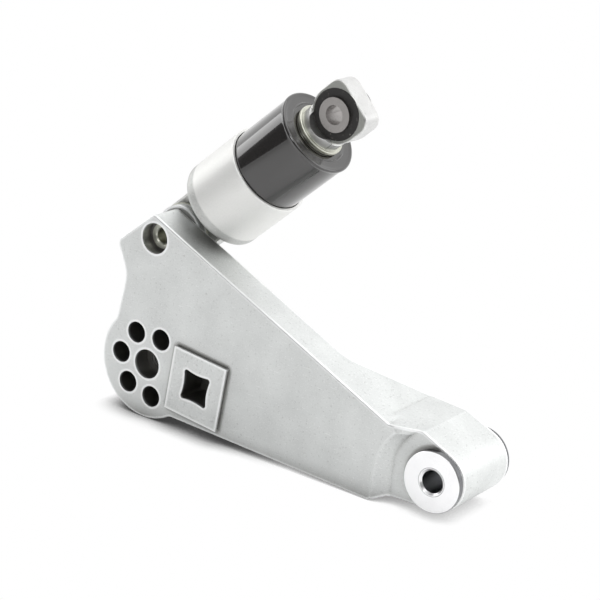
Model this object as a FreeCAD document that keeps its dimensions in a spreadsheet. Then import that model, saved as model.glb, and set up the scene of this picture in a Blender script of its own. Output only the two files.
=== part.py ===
import FreeCAD, Part
import math
import os

import Sketcher

# Belt tensioner lever with a hydraulic damper, lengths in millimetres and angles in degrees.
# The origin is on the pivot axis, at the front face of the pivot bushing. Y runs along the
# pivot axis away from the front face, Z is up, and the lever reaches out towards minus X.

DIMENSIONS = (
    # Casting outline
    ("hub_x", 157.2, "distance of the pulley hub from the pivot, along X"),
    ("hub_z", 7.6, "height of the pulley hub above the pivot"),
    ("hub_radius", 26.4, "outer radius of the pulley hub"),
    ("pin_x", 158.3, "distance of the damper pin from the pivot, along X"),
    ("pin_z", 68.7, "height of the damper pin above the pivot"),
    ("pin_margin", 9.5, "distance from the pin axis to the two upper edges"),
    ("top_angle", 24.1, "fall of the long upper edge towards the pivot"),
    ("crown_angle", 41.5, "fall of the short upper edge away from the pivot"),
    ("crown_length", 26.5, "length of the short upper edge"),
    ("waist_x", 173.0, "narrowest place of the left flank, along X"),
    ("waist_z", 48.0, "height of the narrowest place of the left flank"),
    ("plate_thickness", 17.8, "thickness of the lever plate"),
    ("heel_x", 30.8, "place where the lower edge turns towards the barrel, along X"),
    ("heel_drop", 18.6, "drop of that place below the pivot"),
    ("ramp_x", 23.0, "place where the lower edge levels out towards the barrel, along X"),
    ("ramp_drop", 14.9, "drop of that place below the pivot"),
    ("sole_angle", 2.3, "fall of the lower edge towards the pivot"),
    ("shoulder_x", 28.0, "place where the upper edge flattens out, along X"),
    ("shoulder_angle", 4.0, "fall of the flatter upper edge"),
    ("shoulder_end_x", 8.6, "place where the upper edge drops to the barrel, along X"),
    ("nape_x", 24.5, "place where the front of the upper edge flattens out, along X"),
    ("corner_round", 3.4, "rounding of the upper corners"),
    ("waist_round", 16.0, "rounding of the left flank at the waist"),
    ("hub_blend", 5.0, "rounding where the flank and the lower edge meet the hub"),
    ("flank_inset", 5.8, "how far inside the hub's left side the flank ends"),
    ("flank_rise", 12.4, "height on the hub where the left flank runs into it"),
    ("sole_shift", 7.9, "place on the hub where the lower edge runs into it"),
    ("edge_round", 0.8, "rounding of the front edge of the casting"),
    # Pivot end of the casting
    ("rim_radius", 30.0, "radius of the recess's rim in the front face"),
    ("rim_x", 0.6, "place of the centre of that rim, along X"),
    ("rim_drop", 5.1, "how far the centre of that rim lies below the pivot"),
    ("rim_angle", 134.6, "direction in which the rim ends near the upper edge"),
    ("floor_radius", 21.6, "radius of the recess's floor about the pivot"),
    ("floor_angle", 129.5, "direction in which the floor's edge ends near the upper edge"),
    ("notch_start_x", 22.6, "start of the notch in the upper edge in the front face, along X"),
    ("notch_end_x", 10.5, "end of the notch at the recess's floor, along X"),
    ("notch_z", 20.2, "height of the notch's corners above the pivot"),
    ("barrel_radius", 14.4, "outer radius of the pivot barrel"),
    ("barrel_front", 3.5, "front face of the pivot barrel and floor of the recess"),
    ("barrel_rear", 41.0, "rear face of the pivot barrel"),
    ("web_start", 10.0, "where the web starts inside the plate"),
    ("barrel_bore", 9.0, "bore radius of the pivot barrel"),
    ("flare_x", 60.0, "place where the rear face starts to flare out"),
    ("flare_angle", 35.9, "angle of the flared rear face"),
    ("flare_round", 14.0, "rounding where the rear face starts to flare out"),
    # Pulley hub
    ("relief_count", 5.0, "number of relief holes"),
    ("relief_radius", 5.05, "radius of the five relief holes of the hub"),
    ("relief_pitch", 15.6, "pitch radius of the relief holes"),
    ("relief_angle", 63.4, "angle of the first relief hole"),
    ("relief_step_angle", 55.1, "angle between neighbouring relief holes"),
    ("relief_depth", 13.0, "depth of the relief holes"),
    ("hub_counterbore", 7.05, "radius of the counterbore in the hub centre"),
    ("hub_counterbore_depth", 9.0, "depth of that counterbore"),
    ("pulley_thread", 4.25, "core radius of the M10 pulley thread"),
    ("pulley_seat_radius", 15.0, "radius of the pulley seat on the rear face"),
    ("pulley_seat_height", 3.2, "height of the pulley seat"),
    # Square drive
    ("drive_x", 127.2, "place of the drive boss, along X"),
    ("drive_z", 4.8, "height of the drive boss"),
    ("drive_angle", 5.9, "turn of the drive boss, clockwise"),
    ("boss_width", 30.2, "width of the raised boss"),
    ("boss_height", 31.6, "height of the raised boss"),
    ("boss_raise", 1.8, "how far the boss stands out"),
    ("drive_corner", 7.84, "half spacing of the drive's corners"),
    ("drive_flat", 6.65, "half width between the drive's bulged sides"),
    ("drive_depth", 15.0, "depth of the drive, from the boss face"),
    ("drive_corner_round", 1.3, "rounding of the drive's corners"),
    # Damper pin
    ("pin_counterbore", 7.22, "radius of the counterbore around the pin"),
    ("pin_counterbore_depth", 6.0, "depth of that counterbore"),
    ("pin_radius", 6.0, "outer radius of the hollow pin"),
    ("pin_bore", 3.55, "bore radius of the hollow pin"),
    ("pin_chamfer", 0.6, "chamfers of the hollow pin"),
    ("pin_boss_radius", 12.2, "radius of the rear boss around the pin"),
    ("pin_boss_height", 4.7, "height of the rear boss around the pin"),
    ("thrust_radius", 12.7, "outer radius of the thrust washer"),
    ("thrust_thickness", 1.25, "thickness of the thrust washer"),
    ("rear_washer_thickness", 1.0, "thickness of the washer behind the lug"),
    ("rear_washer_radius", 9.5, "radius of the washer behind the lug"),
    ("circlip_thickness", 1.0, "thickness of the retaining ring"),
    ("circlip_radius", 8.2, "outer radius of the retaining ring"),
    ("circlip_depth", 0.6, "depth of the retaining ring's groove"),
    ("pin_tail", 1.2, "length of pin left behind the retaining ring"),
    # Pivot bushing
    ("sleeve_radius", 6.35, "outer radius of the pivot sleeve"),
    ("sleeve_bore", 5.1, "bore radius of the pivot sleeve"),
    ("sleeve_lead", 0.9, "lead-in chamfer of the pivot sleeve"),
    ("flange_radius", 14.0, "radius of the bushing's end flanges"),
    ("front_flange", 3.1, "thickness of the front flange"),
    ("rear_flange", 1.9, "thickness of the rear flange"),
    ("flange_chamfer", 0.3, "chamfer of the end flanges"),
    ("bush_length", 14.0, "length of each plain bush in the barrel"),
    ("seal_radius", 11.6, "outer radius of the dust seals"),
    ("seal_depth", 2.0, "depth of the dust seals' seats"),
    # Damper
    ("damper_angle", 43.4, "angle of the damper above the horizontal, as it leans at rest"),
    ("lug_width", 9.5, "width of the lower lug along the pin"),
    ("lug_radius", 13.4, "radius of the lower lug"),
    ("lug_bore", 7.5, "bore radius of the lower lug"),
    ("cup_wall", 1.25, "wall of the damper cup"),
    ("cup_start", 20.2, "lower face of the cup, from the pin"),
    ("cup_floor", 26.5, "floor of the cup's bore, from the pin"),
    ("cup_end", 54.5, "rim of the cup, from the pin"),
    ("cup_round", 3.0, "rounding of the cup's lower corner"),
    ("cup_chamfer", 0.35, "chamfer of the cup's rim"),
    ("tube_radius", 10.0, "outer radius of the pressure tube"),
    ("tube_bore", 8.0, "bore radius of the pressure tube"),
    ("tube_length", 40.0, "length of the pressure tube"),
    ("valve_height", 2.0, "height of the valve seat in the tube"),
    ("valve_port", 1.5, "radius of the valve's port"),
    ("ball_radius", 2.2, "radius of the valve ball"),
    ("cage_height", 5.0, "height of the valve cage"),
    ("cage_radius", 4.2, "outer radius of the valve cage"),
    ("cage_wall", 0.8, "wall of the valve cage"),
    ("guide_head", 4.0, "height of the rod guide's head"),
    ("guide_spigot", 3.0, "length of the rod guide's spigot"),
    ("rod_seal_radius", 6.8, "outer radius of the rod seal"),
    ("rod_seal_height", 2.0, "height of the rod seal"),
    ("rod_radius", 4.5, "radius of the piston rod"),
    ("rod_spigot", 3.0, "radius of the rod end inside the piston"),
    ("piston_height", 8.0, "height of the piston"),
    ("cover_radius", 20.0, "outer radius of the dust cover"),
    ("cover_wall", 1.0, "wall of the dust cover"),
    ("cover_clearance", 0.35, "gap between the dust cover and the bore of the damper cup"),
    ("cover_start", 36.0, "lower edge of the dust cover, from the pin"),
    ("cover_top", 87.2, "end wall of the dust cover, from the pin"),
    ("bead_radius", 1.2, "radius of the dust cover's bead"),
    ("bead_stand", 0.5, "how far the bead stands out from the dust cover"),
    ("bead_height", 0.3, "how far the bead stands above the end wall"),
    ("seat_height", 1.8, "height of the upper spring seat"),
    ("spring_wire", 4.0, "wire diameter of the main spring"),
    ("spring_radius", 14.75, "mean radius of the main spring"),
    ("spring_turns", 7.0, "turns of the main spring"),
    ("washer_radius", 14.1, "radius of the washer under the eye"),
    ("washer_height", 1.2, "thickness of the washer under the eye"),
    ("washer_chamfer", 0.3, "chamfer of the washer and of the lock nut"),
    ("locknut_radius", 13.4, "radius of the round lock nut"),
    ("locknut_height", 1.8, "height of the round lock nut"),
    ("eye_rise", 14.3, "distance from the lock nut to the upper eye's axis"),
    ("eye_width", 11.4, "width of the upper eye along Y"),
    ("eye_radius", 13.1, "outer radius of the upper eye"),
    ("eye_flat", 12.0, "distance from the eye's axis to its flat end"),
    ("eye_corner", 5.8, "rounding of the flat end's corners"),
    ("eye_chamfer", 0.7, "chamfer of the upper eye's faces"),
    ("eye_neck", 11.0, "radius of the neck below the eye"),
    ("neck_height", 4.4, "height of the neck's straight side"),
    ("eye_bore", 11.7, "bore radius of the upper eye"),
    ("eye_sleeve_radius", 7.85, "outer radius of the eye's steel sleeve"),
    ("eye_sleeve_bore", 4.35, "bore radius of the eye's steel sleeve"),
    ("eye_sleeve_length", 15.0, "length of the eye's steel sleeve"),
    ("rubber_stand", 0.2, "how far the rubber stands out from the eye's faces"),
    # Fits
    ("running_fit", 0.05, "radial clearance of a running fit"),
    ("side_gap", 0.3, "gap between faces that move past each other"),
)


class Size:
    """A number together with the spreadsheet formula that gives it."""

    def __init__(self, value, formula):
        self.value = value
        self.formula = formula

    def _join(self, other, sign, result):
        text = other.formula if isinstance(other, Size) else repr(float(other))
        return Size(result, f"({self.formula} {sign} {text})")

    def __add__(self, other):
        return self._join(other, "+", self.value + number(other))

    def __sub__(self, other):
        return self._join(other, "-", self.value - number(other))

    def __mul__(self, other):
        return self._join(other, "*", self.value * number(other))

    def __truediv__(self, other):
        return self._join(other, "/", self.value / number(other))

    def __neg__(self):
        return Size(-self.value, f"(0 - {self.formula})")


def number(size):
    """The plain number of a Size or of a number."""
    return size.value if isinstance(size, Size) else float(size)


def sine(angle):
    return Size(math.sin(math.radians(angle.value)), f"sin({angle.formula} * 1 deg)")


def cosine(angle):
    return Size(math.cos(math.radians(angle.value)), f"cos({angle.formula} * 1 deg)")


def root(size):
    return Size(math.sqrt(size.value), f"sqrt({size.formula})")


def arc_cosine(ratio):
    return Size(math.degrees(math.acos(ratio.value)), f"(acos({ratio.formula}) / 1 deg)")


def direction(x, z):
    """The angle of the direction from the origin to a point, in degrees."""
    return Size(
        math.degrees(math.atan2(number(z), number(x))), f"(atan2({z.formula}; {x.formula}) / 1 deg)"
    )


doc = FreeCAD.newDocument("belt_tensioner")
sheet = doc.addObject("Spreadsheet::Sheet", "Sizes")
for row, (alias, size, meaning) in enumerate(DIMENSIONS, start=1):
    sheet.set(f"A{row}", meaning)
    sheet.set(f"B{row}", str(size))
    sheet.setAlias(f"B{row}", alias)
doc.recompute()

SIZES = {alias: Size(float(size), f"Sizes.{alias}") for alias, size, meaning in DIMENSIONS}
ZERO = Size(0.0, "0")

# Sketcher's numbers for the places on a line or circle, and for the sketch's own axes.
START, END, CENTRE = range(1, 4)
X_AXIS, Y_AXIS = range(-1, -3, -1)

# Values closer than this count as the same.
SAME = 1e-4


def size(name):
    """The Size of a spreadsheet cell."""
    return SIZES[name]


def bind(thing, attribute, value):
    """Ties one property of an object to a Size."""
    thing.setExpression(attribute, value.formula)


def new_body(label):
    """A new body whose label names its file."""
    body = doc.addObject("PartDesign::Body", label)
    body.Label = label
    return body


def new_sketch(body, role, offset=None):
    """A sketch on one of the body's own planes, moved along the plane's normal by an offset."""
    sketch = body.newObject("Sketcher::SketchObject", f"{body.Name}_sketch")
    plane = next(item for item in body.Origin.OriginFeatures if item.Role == role)
    sketch.AttachmentSupport = [(plane, "")]
    sketch.MapMode = "FlatFace"
    if offset is not None:
        bind(sketch, "AttachmentOffset.Base.z", offset)
    return sketch


def place_point(sketch, geometry, end, point):
    """Ties one end of a sketch line or circle to a point given as two Sizes."""
    distances = (("DistanceX", Y_AXIS, point[0]), ("DistanceY", X_AXIS, point[1]))
    for kind, axis, value in distances:
        if abs(number(value)) < SAME:
            sketch.addConstraint(Sketcher.Constraint("PointOnObject", geometry, end, axis))
        else:
            ends = (X_AXIS, START, geometry, end)
            index = sketch.addConstraint(Sketcher.Constraint(kind, *ends, number(value)))
            sketch.setExpression(f"Constraints[{index}]", value.formula)


def draw_path(sketch, points, arcs=None):
    """Draws a closed path through points given as pairs of Sizes.

    arcs gives, for the number of a stretch, the centre and radius of its arc and whether
    the arc runs counterclockwise. The other stretches are straight.
    """
    arcs = arcs or {}
    stretches = []
    for index, start in enumerate(points):
        end = points[(index + 1) % len(points)]
        if index in arcs:
            centre, radius, left = arcs[index]
            ends = (start, end) if left else (end, start)
            arc = draw_arc(sketch, centre, *ends, radius)
            stretches.append((arc, START, END) if left else (arc, END, START))
        else:
            line = Part.LineSegment(flat_vector(start), flat_vector(end))
            stretches.append((sketch.addGeometry(line, False), START, END))
    for index, (stretch, first, last) in enumerate(stretches):
        following, following_first, _ = stretches[(index + 1) % len(points)]
        ends = (stretch, last, following, following_first)
        sketch.addConstraint(Sketcher.Constraint("Coincident", *ends))
        place_point(sketch, stretch, first, points[index])


def flat_vector(point):
    """The vector of a point given as a pair of Sizes."""
    return FreeCAD.Vector(number(point[0]), number(point[1]), 0)


def draw_arc(sketch, centre, start, end, radius):
    """Draws an arc of a Size radius, counterclockwise from one point to another."""
    angles = [direction(point[0] - centre[0], point[1] - centre[1]).value for point in (start, end)]
    circle = Part.Circle(flat_vector(centre), FreeCAD.Vector(0, 0, 1), number(radius))
    first, last = (math.radians(angle) for angle in angles)
    arc = sketch.addGeometry(Part.ArcOfCircle(circle, first, last), False)
    index = sketch.addConstraint(Sketcher.Constraint("Radius", arc, number(radius)))
    sketch.setExpression(f"Constraints[{index}]", radius.formula)
    return arc


def draw_circle(sketch, centre, radius):
    """Draws a circle whose centre and radius are Sizes."""
    curve = Part.Circle(flat_vector(centre), FreeCAD.Vector(0, 0, 1), number(radius))
    circle = sketch.addGeometry(curve, False)
    index = sketch.addConstraint(Sketcher.Constraint("Radius", circle, number(radius)))
    sketch.setExpression(f"Constraints[{index}]", radius.formula)
    place_point(sketch, circle, CENTRE, centre)


def pad_along_y(body, sketch, length):
    """Pads a sketch of the XZ plane away from the front face."""
    pad = body.newObject("PartDesign::Pad", f"{body.Name}_pad")
    pad.Profile = sketch
    pad.Reversed = True
    bind(pad, "Length", length)
    return pad


def pocket_along_y(body, sketch, depth):
    """Cuts a sketch of the XZ plane away from the front face, and checks that it cuts."""
    doc.recompute()
    before = body.Shape.Volume
    pocket = body.newObject("PartDesign::Pocket", f"{body.Name}_pocket")
    pocket.Profile = sketch
    pocket.Reversed = False
    bind(pocket, "Length", depth)
    doc.recompute()
    if body.Shape.Volume >= before:
        raise RuntimeError(f"{body.Label}: a pocket removes nothing")
    return pocket


def round_edges(body, feature, edges, radius):
    """Rounds the named edges of a feature."""
    if not edges:
        raise RuntimeError(f"{body.Label}: no edge to round")
    fillet = body.newObject("PartDesign::Fillet", f"{body.Name}_fillet")
    fillet.Base = (feature, edges)
    bind(fillet, "Radius", radius)
    doc.recompute()
    return fillet


def chamfer_edges(body, feature, edges, width):
    """Chamfers the named edges of a feature."""
    chamfer = body.newObject("PartDesign::Chamfer", f"{body.Name}_chamfer")
    chamfer.Base = (feature, edges)
    bind(chamfer, "Size", width)
    doc.recompute()
    return chamfer


def outline_edges(shape, y):
    """Names of the outer edges of the largest flat face that lies in a plane of constant Y."""
    faces = [face for face in shape.Faces if face.BoundBox.YLength < SAME]
    faces = [face for face in faces if abs(face.BoundBox.YMin - y) < SAME]
    largest = max(faces, key=lambda face: face.Area)
    return [
        f"Edge{index}"
        for index, edge in enumerate(shape.Edges, start=1)
        if any(edge.isSame(other) for other in largest.OuterWire.Edges)
    ]


def edges_at(shape, points, reach=0.05):
    """Names of the straight edges along Y that pass through the given points (x, z)."""
    names = []
    for index, edge in enumerate(shape.Edges, start=1):
        first, last = edge.Vertexes[0].Point, edge.Vertexes[-1].Point
        along_y = abs(first.x - last.x) < reach and abs(first.z - last.z) < reach
        if not along_y or abs(first.y - last.y) < reach:
            continue
        for x, z in points:
            if math.hypot(first.x - number(x), first.z - number(z)) < reach:
                names.append(f"Edge{index}")
    return names


def turned(label, profile, along="Y", arcs=None):
    """A body turned about Y or X from a closed profile of (radius, station) points."""
    body = new_body(label)
    turn_profile(body, profile, along, arcs)
    return body


def turn_profile(body, profile, along="Y", arcs=None):
    """Turns a profile about Y or X and adds it to a body."""
    sketch = new_sketch(body, "XY_Plane")
    points = [(r, s) if along == "Y" else (s, r) for r, s in profile]
    draw_path(sketch, points, arcs)
    turn = body.newObject("PartDesign::Revolution", f"{body.Name}_turn")
    turn.Profile = sketch
    turn.ReferenceAxis = (sketch, ["V_Axis"] if along == "Y" else ["H_Axis"])
    turn.Angle = 360
    doc.recompute()
    return turn


def ring(inner, outer, start, end, chamfer=None):
    """The profile of a plain ring, with its outer corners chamfered if asked."""
    if chamfer is None:
        return [(inner, start), (outer, start), (outer, end), (inner, end)]
    return [
        (inner, start),
        (outer - chamfer, start),
        (outer, start + chamfer),
        (outer, end - chamfer),
        (outer - chamfer, end),
        (inner, end),
    ]


def on_pin(body):
    """Moves a body that was turned about Y to the damper pin."""
    bind(body, "Placement.Base.x", -size("pin_x"))
    bind(body, "Placement.Base.z", size("pin_z"))
    return body


def on_damper(body):
    """Moves a body that was drawn about X to the damper's axis."""
    body.Placement = FreeCAD.Placement(
        FreeCAD.Vector(-size("pin_x").value, damper_y.value, size("pin_z").value),
        FreeCAD.Rotation(FreeCAD.Vector(0, -1, 0), size("damper_angle").value),
    )
    bind(body, "Placement.Base.x", -size("pin_x"))
    bind(body, "Placement.Base.y", damper_y)
    bind(body, "Placement.Base.z", size("pin_z"))
    bind(body, "Placement.Rotation.Angle", size("damper_angle"))
    return body


# Stations that several pieces share

sleeve_end = size("barrel_rear") + size("side_gap") + size("rear_flange")
flange_back = size("barrel_front") - size("side_gap")
pin_boss_end = size("plate_thickness") + size("pin_boss_height")
lug_front = pin_boss_end + size("thrust_thickness") + size("side_gap")
lug_rear = lug_front + size("lug_width")
damper_y = lug_front + size("lug_width") / 2
rear_washer_start = lug_rear + size("side_gap")
circlip_start = rear_washer_start + size("rear_washer_thickness")
circlip_end = circlip_start + size("circlip_thickness")
pin_end = circlip_end + size("pin_tail")
tube_end = size("cup_floor") + size("tube_length")
cup_bore = size("cover_radius") + size("cover_clearance")
cup_radius = cup_bore + size("cup_wall")
cover_bore = size("cover_radius") - size("cover_wall")
cover_underside = size("cover_top") - size("cover_wall")
bead_middle = size("cover_radius") + size("bead_stand") - size("bead_radius")
washer_end = size("cover_top") + size("washer_height")
locknut_end = washer_end + size("locknut_height")
eye_reach = locknut_end + size("eye_rise")
piston_end = tube_end - size("guide_spigot") - size("side_gap")
piston_start = piston_end - size("piston_height")

half_flare = size("flare_angle") / 2
flare_lead = size("flare_round") * sine(half_flare) / cosine(half_flare)
flare_start = -size("flare_x") - flare_lead

# Corners of the casting, seen from the front

hub = (-size("hub_x"), size("hub_z"))
pin = (-size("pin_x"), size("pin_z"))
top_normal = Size(90.0, "90") - size("top_angle")
crown_normal = Size(90.0, "90") + size("crown_angle")
apex_angle = (top_normal + crown_normal) / 2
apex_reach = size("pin_margin") / cosine((crown_normal - top_normal) / 2)
apex = (pin[0] + apex_reach * cosine(apex_angle), pin[1] + apex_reach * sine(apex_angle))
crown_end = (
    apex[0] - size("crown_length") * cosine(size("crown_angle")),
    apex[1] - size("crown_length") * sine(size("crown_angle")),
)
waist = (-size("waist_x"), size("waist_z"))
top_tangent = sine(size("top_angle")) / cosine(size("top_angle"))
sole_tangent = sine(size("sole_angle")) / cosine(size("sole_angle"))


def on_top_edge(x):
    """The point of the long upper edge at a given X."""
    return (x, apex[1] - (x - apex[0]) * top_tangent)


def on_sole(x):
    """The point of the lower edge at a given X."""
    return (x, (-size("heel_x") - x) * sole_tangent - size("heel_drop"))


def barrel_tangent(corner, side):
    """Where the line from a corner touches the barrel, above (side 1) or below (side -1)."""
    distance = root(corner[0] * corner[0] + corner[1] * corner[1])
    touch = direction(corner[0], corner[1]) - arc_cosine(size("barrel_radius") / distance) * side
    return (size("barrel_radius") * cosine(touch), size("barrel_radius") * sine(touch))


shoulder = on_top_edge(-size("shoulder_x"))
shoulder_tangent = sine(size("shoulder_angle")) / cosine(size("shoulder_angle"))
shoulder_run = size("shoulder_x") - size("shoulder_end_x")
shoulder_end = (-size("shoulder_end_x"), shoulder[1] - shoulder_run * shoulder_tangent)
heel = on_sole(-size("heel_x"))
flank_foot = (hub[0] - size("hub_radius") + size("flank_inset"), hub[1] + size("flank_rise"))
sole_start = on_sole(hub[0] + size("sole_shift"))
ramp_end = (-size("ramp_x"), -size("ramp_drop"))
barrel_side = [heel, ramp_end, barrel_tangent(ramp_end, -1), (ZERO, ZERO)]
barrel_side += [barrel_tangent(shoulder_end, 1), shoulder_end]
nape = on_top_edge(-size("nape_x"))


def make_lever_arm():
    """The cast lever, from the pulley hub and damper boss to the pivot barrel."""
    body = new_body("lever_arm")
    plate = new_sketch(body, "XZ_Plane")
    outline = [apex, crown_end, waist, flank_foot, hub, sole_start] + barrel_side + [nape]
    draw_path(plate, outline)
    feature = pad_along_y(body, plate, size("plate_thickness"))
    doc.recompute()
    corners = edges_at(feature.Shape, [apex, crown_end])
    feature = round_edges(body, feature, corners, size("corner_round"))
    feature = round_edges(body, feature, edges_at(feature.Shape, [waist]), size("waist_round"))
    hub_disc = new_sketch(body, "XZ_Plane")
    draw_circle(hub_disc, hub, size("hub_radius"))
    feature = pad_along_y(body, hub_disc, size("plate_thickness"))
    doc.recompute()
    round_edges(body, feature, hub_corners(feature.Shape), size("hub_blend"))

    feature = cut_recess(body)
    for y in (0.0, size("plate_thickness").value):
        feature = round_edges(body, feature, outline_edges(feature.Shape, y), size("edge_round"))
    add_web(body)
    barrel = new_sketch(body, "XZ_Plane", -size("barrel_front"))
    draw_circle(barrel, (ZERO, ZERO), size("barrel_radius"))
    feature = pad_along_y(body, barrel, size("barrel_rear") - size("barrel_front"))
    doc.recompute()
    round_edges(body, feature, barrel_edges(feature.Shape), size("edge_round"))
    cut_flare(body)
    add_rear_bosses(body)
    add_drive_boss(body)
    cut_hub(body)
    cut_pin_hole(body)
    cut_barrel(body)
    return body


def recess_section(body, y, centre, radius, angle, notch_x):
    """One end of the recess: its round side, the notch in the upper edge, and all beyond."""
    sketch = new_sketch(body, "XZ_Plane", -y)
    far = size("hub_radius") * 3
    top = (centre[0] + radius * cosine(angle), centre[1] + radius * sine(angle))
    side = centre[0] - radius
    points = [
        top,
        (side, centre[1]),
        (side, -far),
        (far, -far),
        (far, far),
        (-notch_x, far),
        (-notch_x, size("notch_z")),
    ]
    draw_path(sketch, points, {0: (centre, radius, True)})
    return sketch


def cut_recess(body):
    """The shallow recess round the front of the barrel, with a sloping wall."""
    rim_centre = (size("rim_x"), -size("rim_drop"))
    rim = recess_section(
        body, ZERO, rim_centre, size("rim_radius"), size("rim_angle"), size("notch_start_x")
    )
    floor = recess_section(
        body,
        size("barrel_front"),
        (ZERO, ZERO),
        size("floor_radius"),
        size("floor_angle"),
        size("notch_end_x"),
    )
    doc.recompute()
    before = body.Shape.Volume
    recess = body.newObject("PartDesign::SubtractiveLoft", "lever_arm_recess")
    recess.Profile = rim
    recess.Sections = [floor]
    recess.Ruled = True
    doc.recompute()
    if body.Shape.Volume >= before:
        raise RuntimeError("the recess removes nothing")
    return recess


def add_web(body):
    """The deep web between the plate and the barrel, whose upper edge blends into the plate's."""
    web = new_sketch(body, "XZ_Plane", -size("web_start"))
    outline = [on_top_edge(flare_start), on_sole(flare_start)] + barrel_side + [shoulder]
    draw_path(web, outline)
    pad_along_y(body, web, size("barrel_rear") - size("web_start"))
    low = size("web_start")
    slant = (nape[0], shoulder[1] - (size("shoulder_x") - size("nape_x")) * shoulder_tangent)
    sections = []
    for y, corner in ((size("barrel_front"), nape), (size("web_start"), slant)):
        section = new_sketch(body, "XZ_Plane", -y)
        inner = [(shoulder_end[0], low), (shoulder[0], low)]
        draw_path(section, [shoulder, corner, shoulder_end] + inner)
        sections.append(section)
    blend = body.newObject("PartDesign::AdditiveLoft", "lever_arm_blend")
    blend.Profile = sections[0]
    blend.Sections = sections[1:]
    blend.Ruled = True
    doc.recompute()


def barrel_edges(shape, reach=0.01):
    """Names of the front edges of the barrel and of the straight sides that run into it."""
    front = size("barrel_front").value
    names = []
    for index, edge in enumerate(shape.Edges, start=1):
        box = edge.BoundBox
        middle = edge.valueAt((edge.FirstParameter + edge.LastParameter) / 2)
        in_front = abs(box.YMin - front) < reach and abs(box.YMax - front) < reach
        if in_front and math.hypot(middle.x, middle.z) < size("floor_radius").value - 2 * reach:
            names.append(f"Edge{index}")
    return names


def hub_corners(shape, reach=0.01):
    """Names of the inward corners where the plate's outline meets the hub disc."""
    names = []
    for index, edge in enumerate(shape.Edges, start=1):
        first, last = edge.Vertexes[0].Point, edge.Vertexes[-1].Point
        along_y = math.hypot(first.x - last.x, first.z - last.z) < reach
        distance = math.hypot(first.x - number(hub[0]), first.z - number(hub[1]))
        on_rim = abs(distance - size("hub_radius").value) < reach
        if along_y and on_rim and abs(first.y - last.y) > reach:
            names.append(f"Edge{index}")
    return names


def cut_flare(body):
    """Cuts the flared rear face between the plate and the barrel."""
    flare = new_sketch(body, "XY_Plane", size("hub_radius") * 4)
    plane, angle = size("plate_thickness"), size("flare_angle")
    run = (size("barrel_rear") - plane) * cosine(angle) / sine(angle)
    far = size("barrel_rear") + plane
    points = [
        (flare_start, plane),
        (flare_lead * cosine(angle) - size("flare_x"), plane + flare_lead * sine(angle)),
        (run - size("flare_x"), size("barrel_rear")),
        (run - size("flare_x"), far),
        (flare_start - plane, far),
        (flare_start - plane, plane),
    ]
    centre = (flare_start, plane + size("flare_round"))
    draw_path(flare, points, {0: (centre, size("flare_round"), True)})
    doc.recompute()
    before = body.Shape.Volume
    pocket = body.newObject("PartDesign::Pocket", "lever_arm_flare")
    pocket.Profile = flare
    pocket.Type = "ThroughAll"
    doc.recompute()
    if body.Shape.Volume >= before:
        raise RuntimeError("the flare cut removes nothing")


def add_rear_bosses(body):
    """The boss around the damper pin and the pulley's seat, both on the rear face."""
    pin_boss = new_sketch(body, "XZ_Plane", -size("plate_thickness"))
    draw_circle(pin_boss, pin, size("pin_boss_radius"))
    pad_along_y(body, pin_boss, size("pin_boss_height"))
    seat = new_sketch(body, "XZ_Plane", -size("plate_thickness"))
    draw_circle(seat, hub, size("pulley_seat_radius"))
    pad_along_y(body, seat, size("pulley_seat_height"))


def drive_point(across, up):
    """A point of the drive boss, from its centre, in the casting's plane."""
    turn = size("drive_angle")
    return (
        across * cosine(turn) + up * sine(turn) - size("drive_x"),
        up * cosine(turn) - across * sine(turn) + size("drive_z"),
    )


def add_drive_boss(body):
    """The raised square boss and its four-pointed drive for a square key."""
    boss = new_sketch(body, "XZ_Plane", size("boss_raise"))
    half_width, half_height = size("boss_width") / 2, size("boss_height") / 2
    signs = ((-1, -1), (1, -1), (1, 1), (-1, 1))
    draw_path(boss, [drive_point(half_width * a, half_height * b) for a, b in signs])
    pad_along_y(body, boss, size("boss_raise") + size("edge_round"))

    drive = new_sketch(body, "XZ_Plane", size("boss_raise"))
    corner, flat = size("drive_corner"), size("drive_flat")
    corners = [drive_point(corner * a, corner * b) for a, b in signs]
    sag = corner - flat
    bulge = (corner * corner + sag * sag) / (sag * 2)
    outside = flat + bulge
    sides = ((0, -1), (1, 0), (0, 1), (-1, 0))
    arcs = {
        index: (drive_point(outside * a, outside * b), bulge, False)
        for index, (a, b) in enumerate(sides)
    }
    draw_path(drive, corners, arcs)
    pocket = pocket_along_y(body, drive, size("drive_depth"))
    round_edges(body, pocket, edges_at(pocket.Shape, corners), size("drive_corner_round"))


def cut_hub(body):
    """The relief holes, the counterbore and the pulley thread's core of the hub."""
    reliefs = new_sketch(body, "XZ_Plane")
    for index in range(round(size("relief_count").value)):
        angle = size("relief_angle") + size("relief_step_angle") * index
        centre = (
            hub[0] + size("relief_pitch") * cosine(angle),
            hub[1] + size("relief_pitch") * sine(angle),
        )
        draw_circle(reliefs, centre, size("relief_radius"))
    pocket_along_y(body, reliefs, size("relief_depth"))
    counterbore = new_sketch(body, "XZ_Plane")
    draw_circle(counterbore, hub, size("hub_counterbore"))
    pocket_along_y(body, counterbore, size("hub_counterbore_depth"))
    thread = new_sketch(body, "XZ_Plane")
    draw_circle(thread, hub, size("pulley_thread"))
    pocket_along_y(body, thread, size("plate_thickness") + size("pulley_seat_height") * 2)


def cut_pin_hole(body):
    """The counterbore and the hole for the damper pin."""
    counterbore = new_sketch(body, "XZ_Plane")
    draw_circle(counterbore, pin, size("pin_counterbore"))
    pocket_along_y(body, counterbore, size("pin_counterbore_depth"))
    hole = new_sketch(body, "XZ_Plane")
    draw_circle(hole, pin, size("pin_radius"))
    pocket_along_y(body, hole, pin_boss_end + size("pin_boss_height"))


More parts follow.
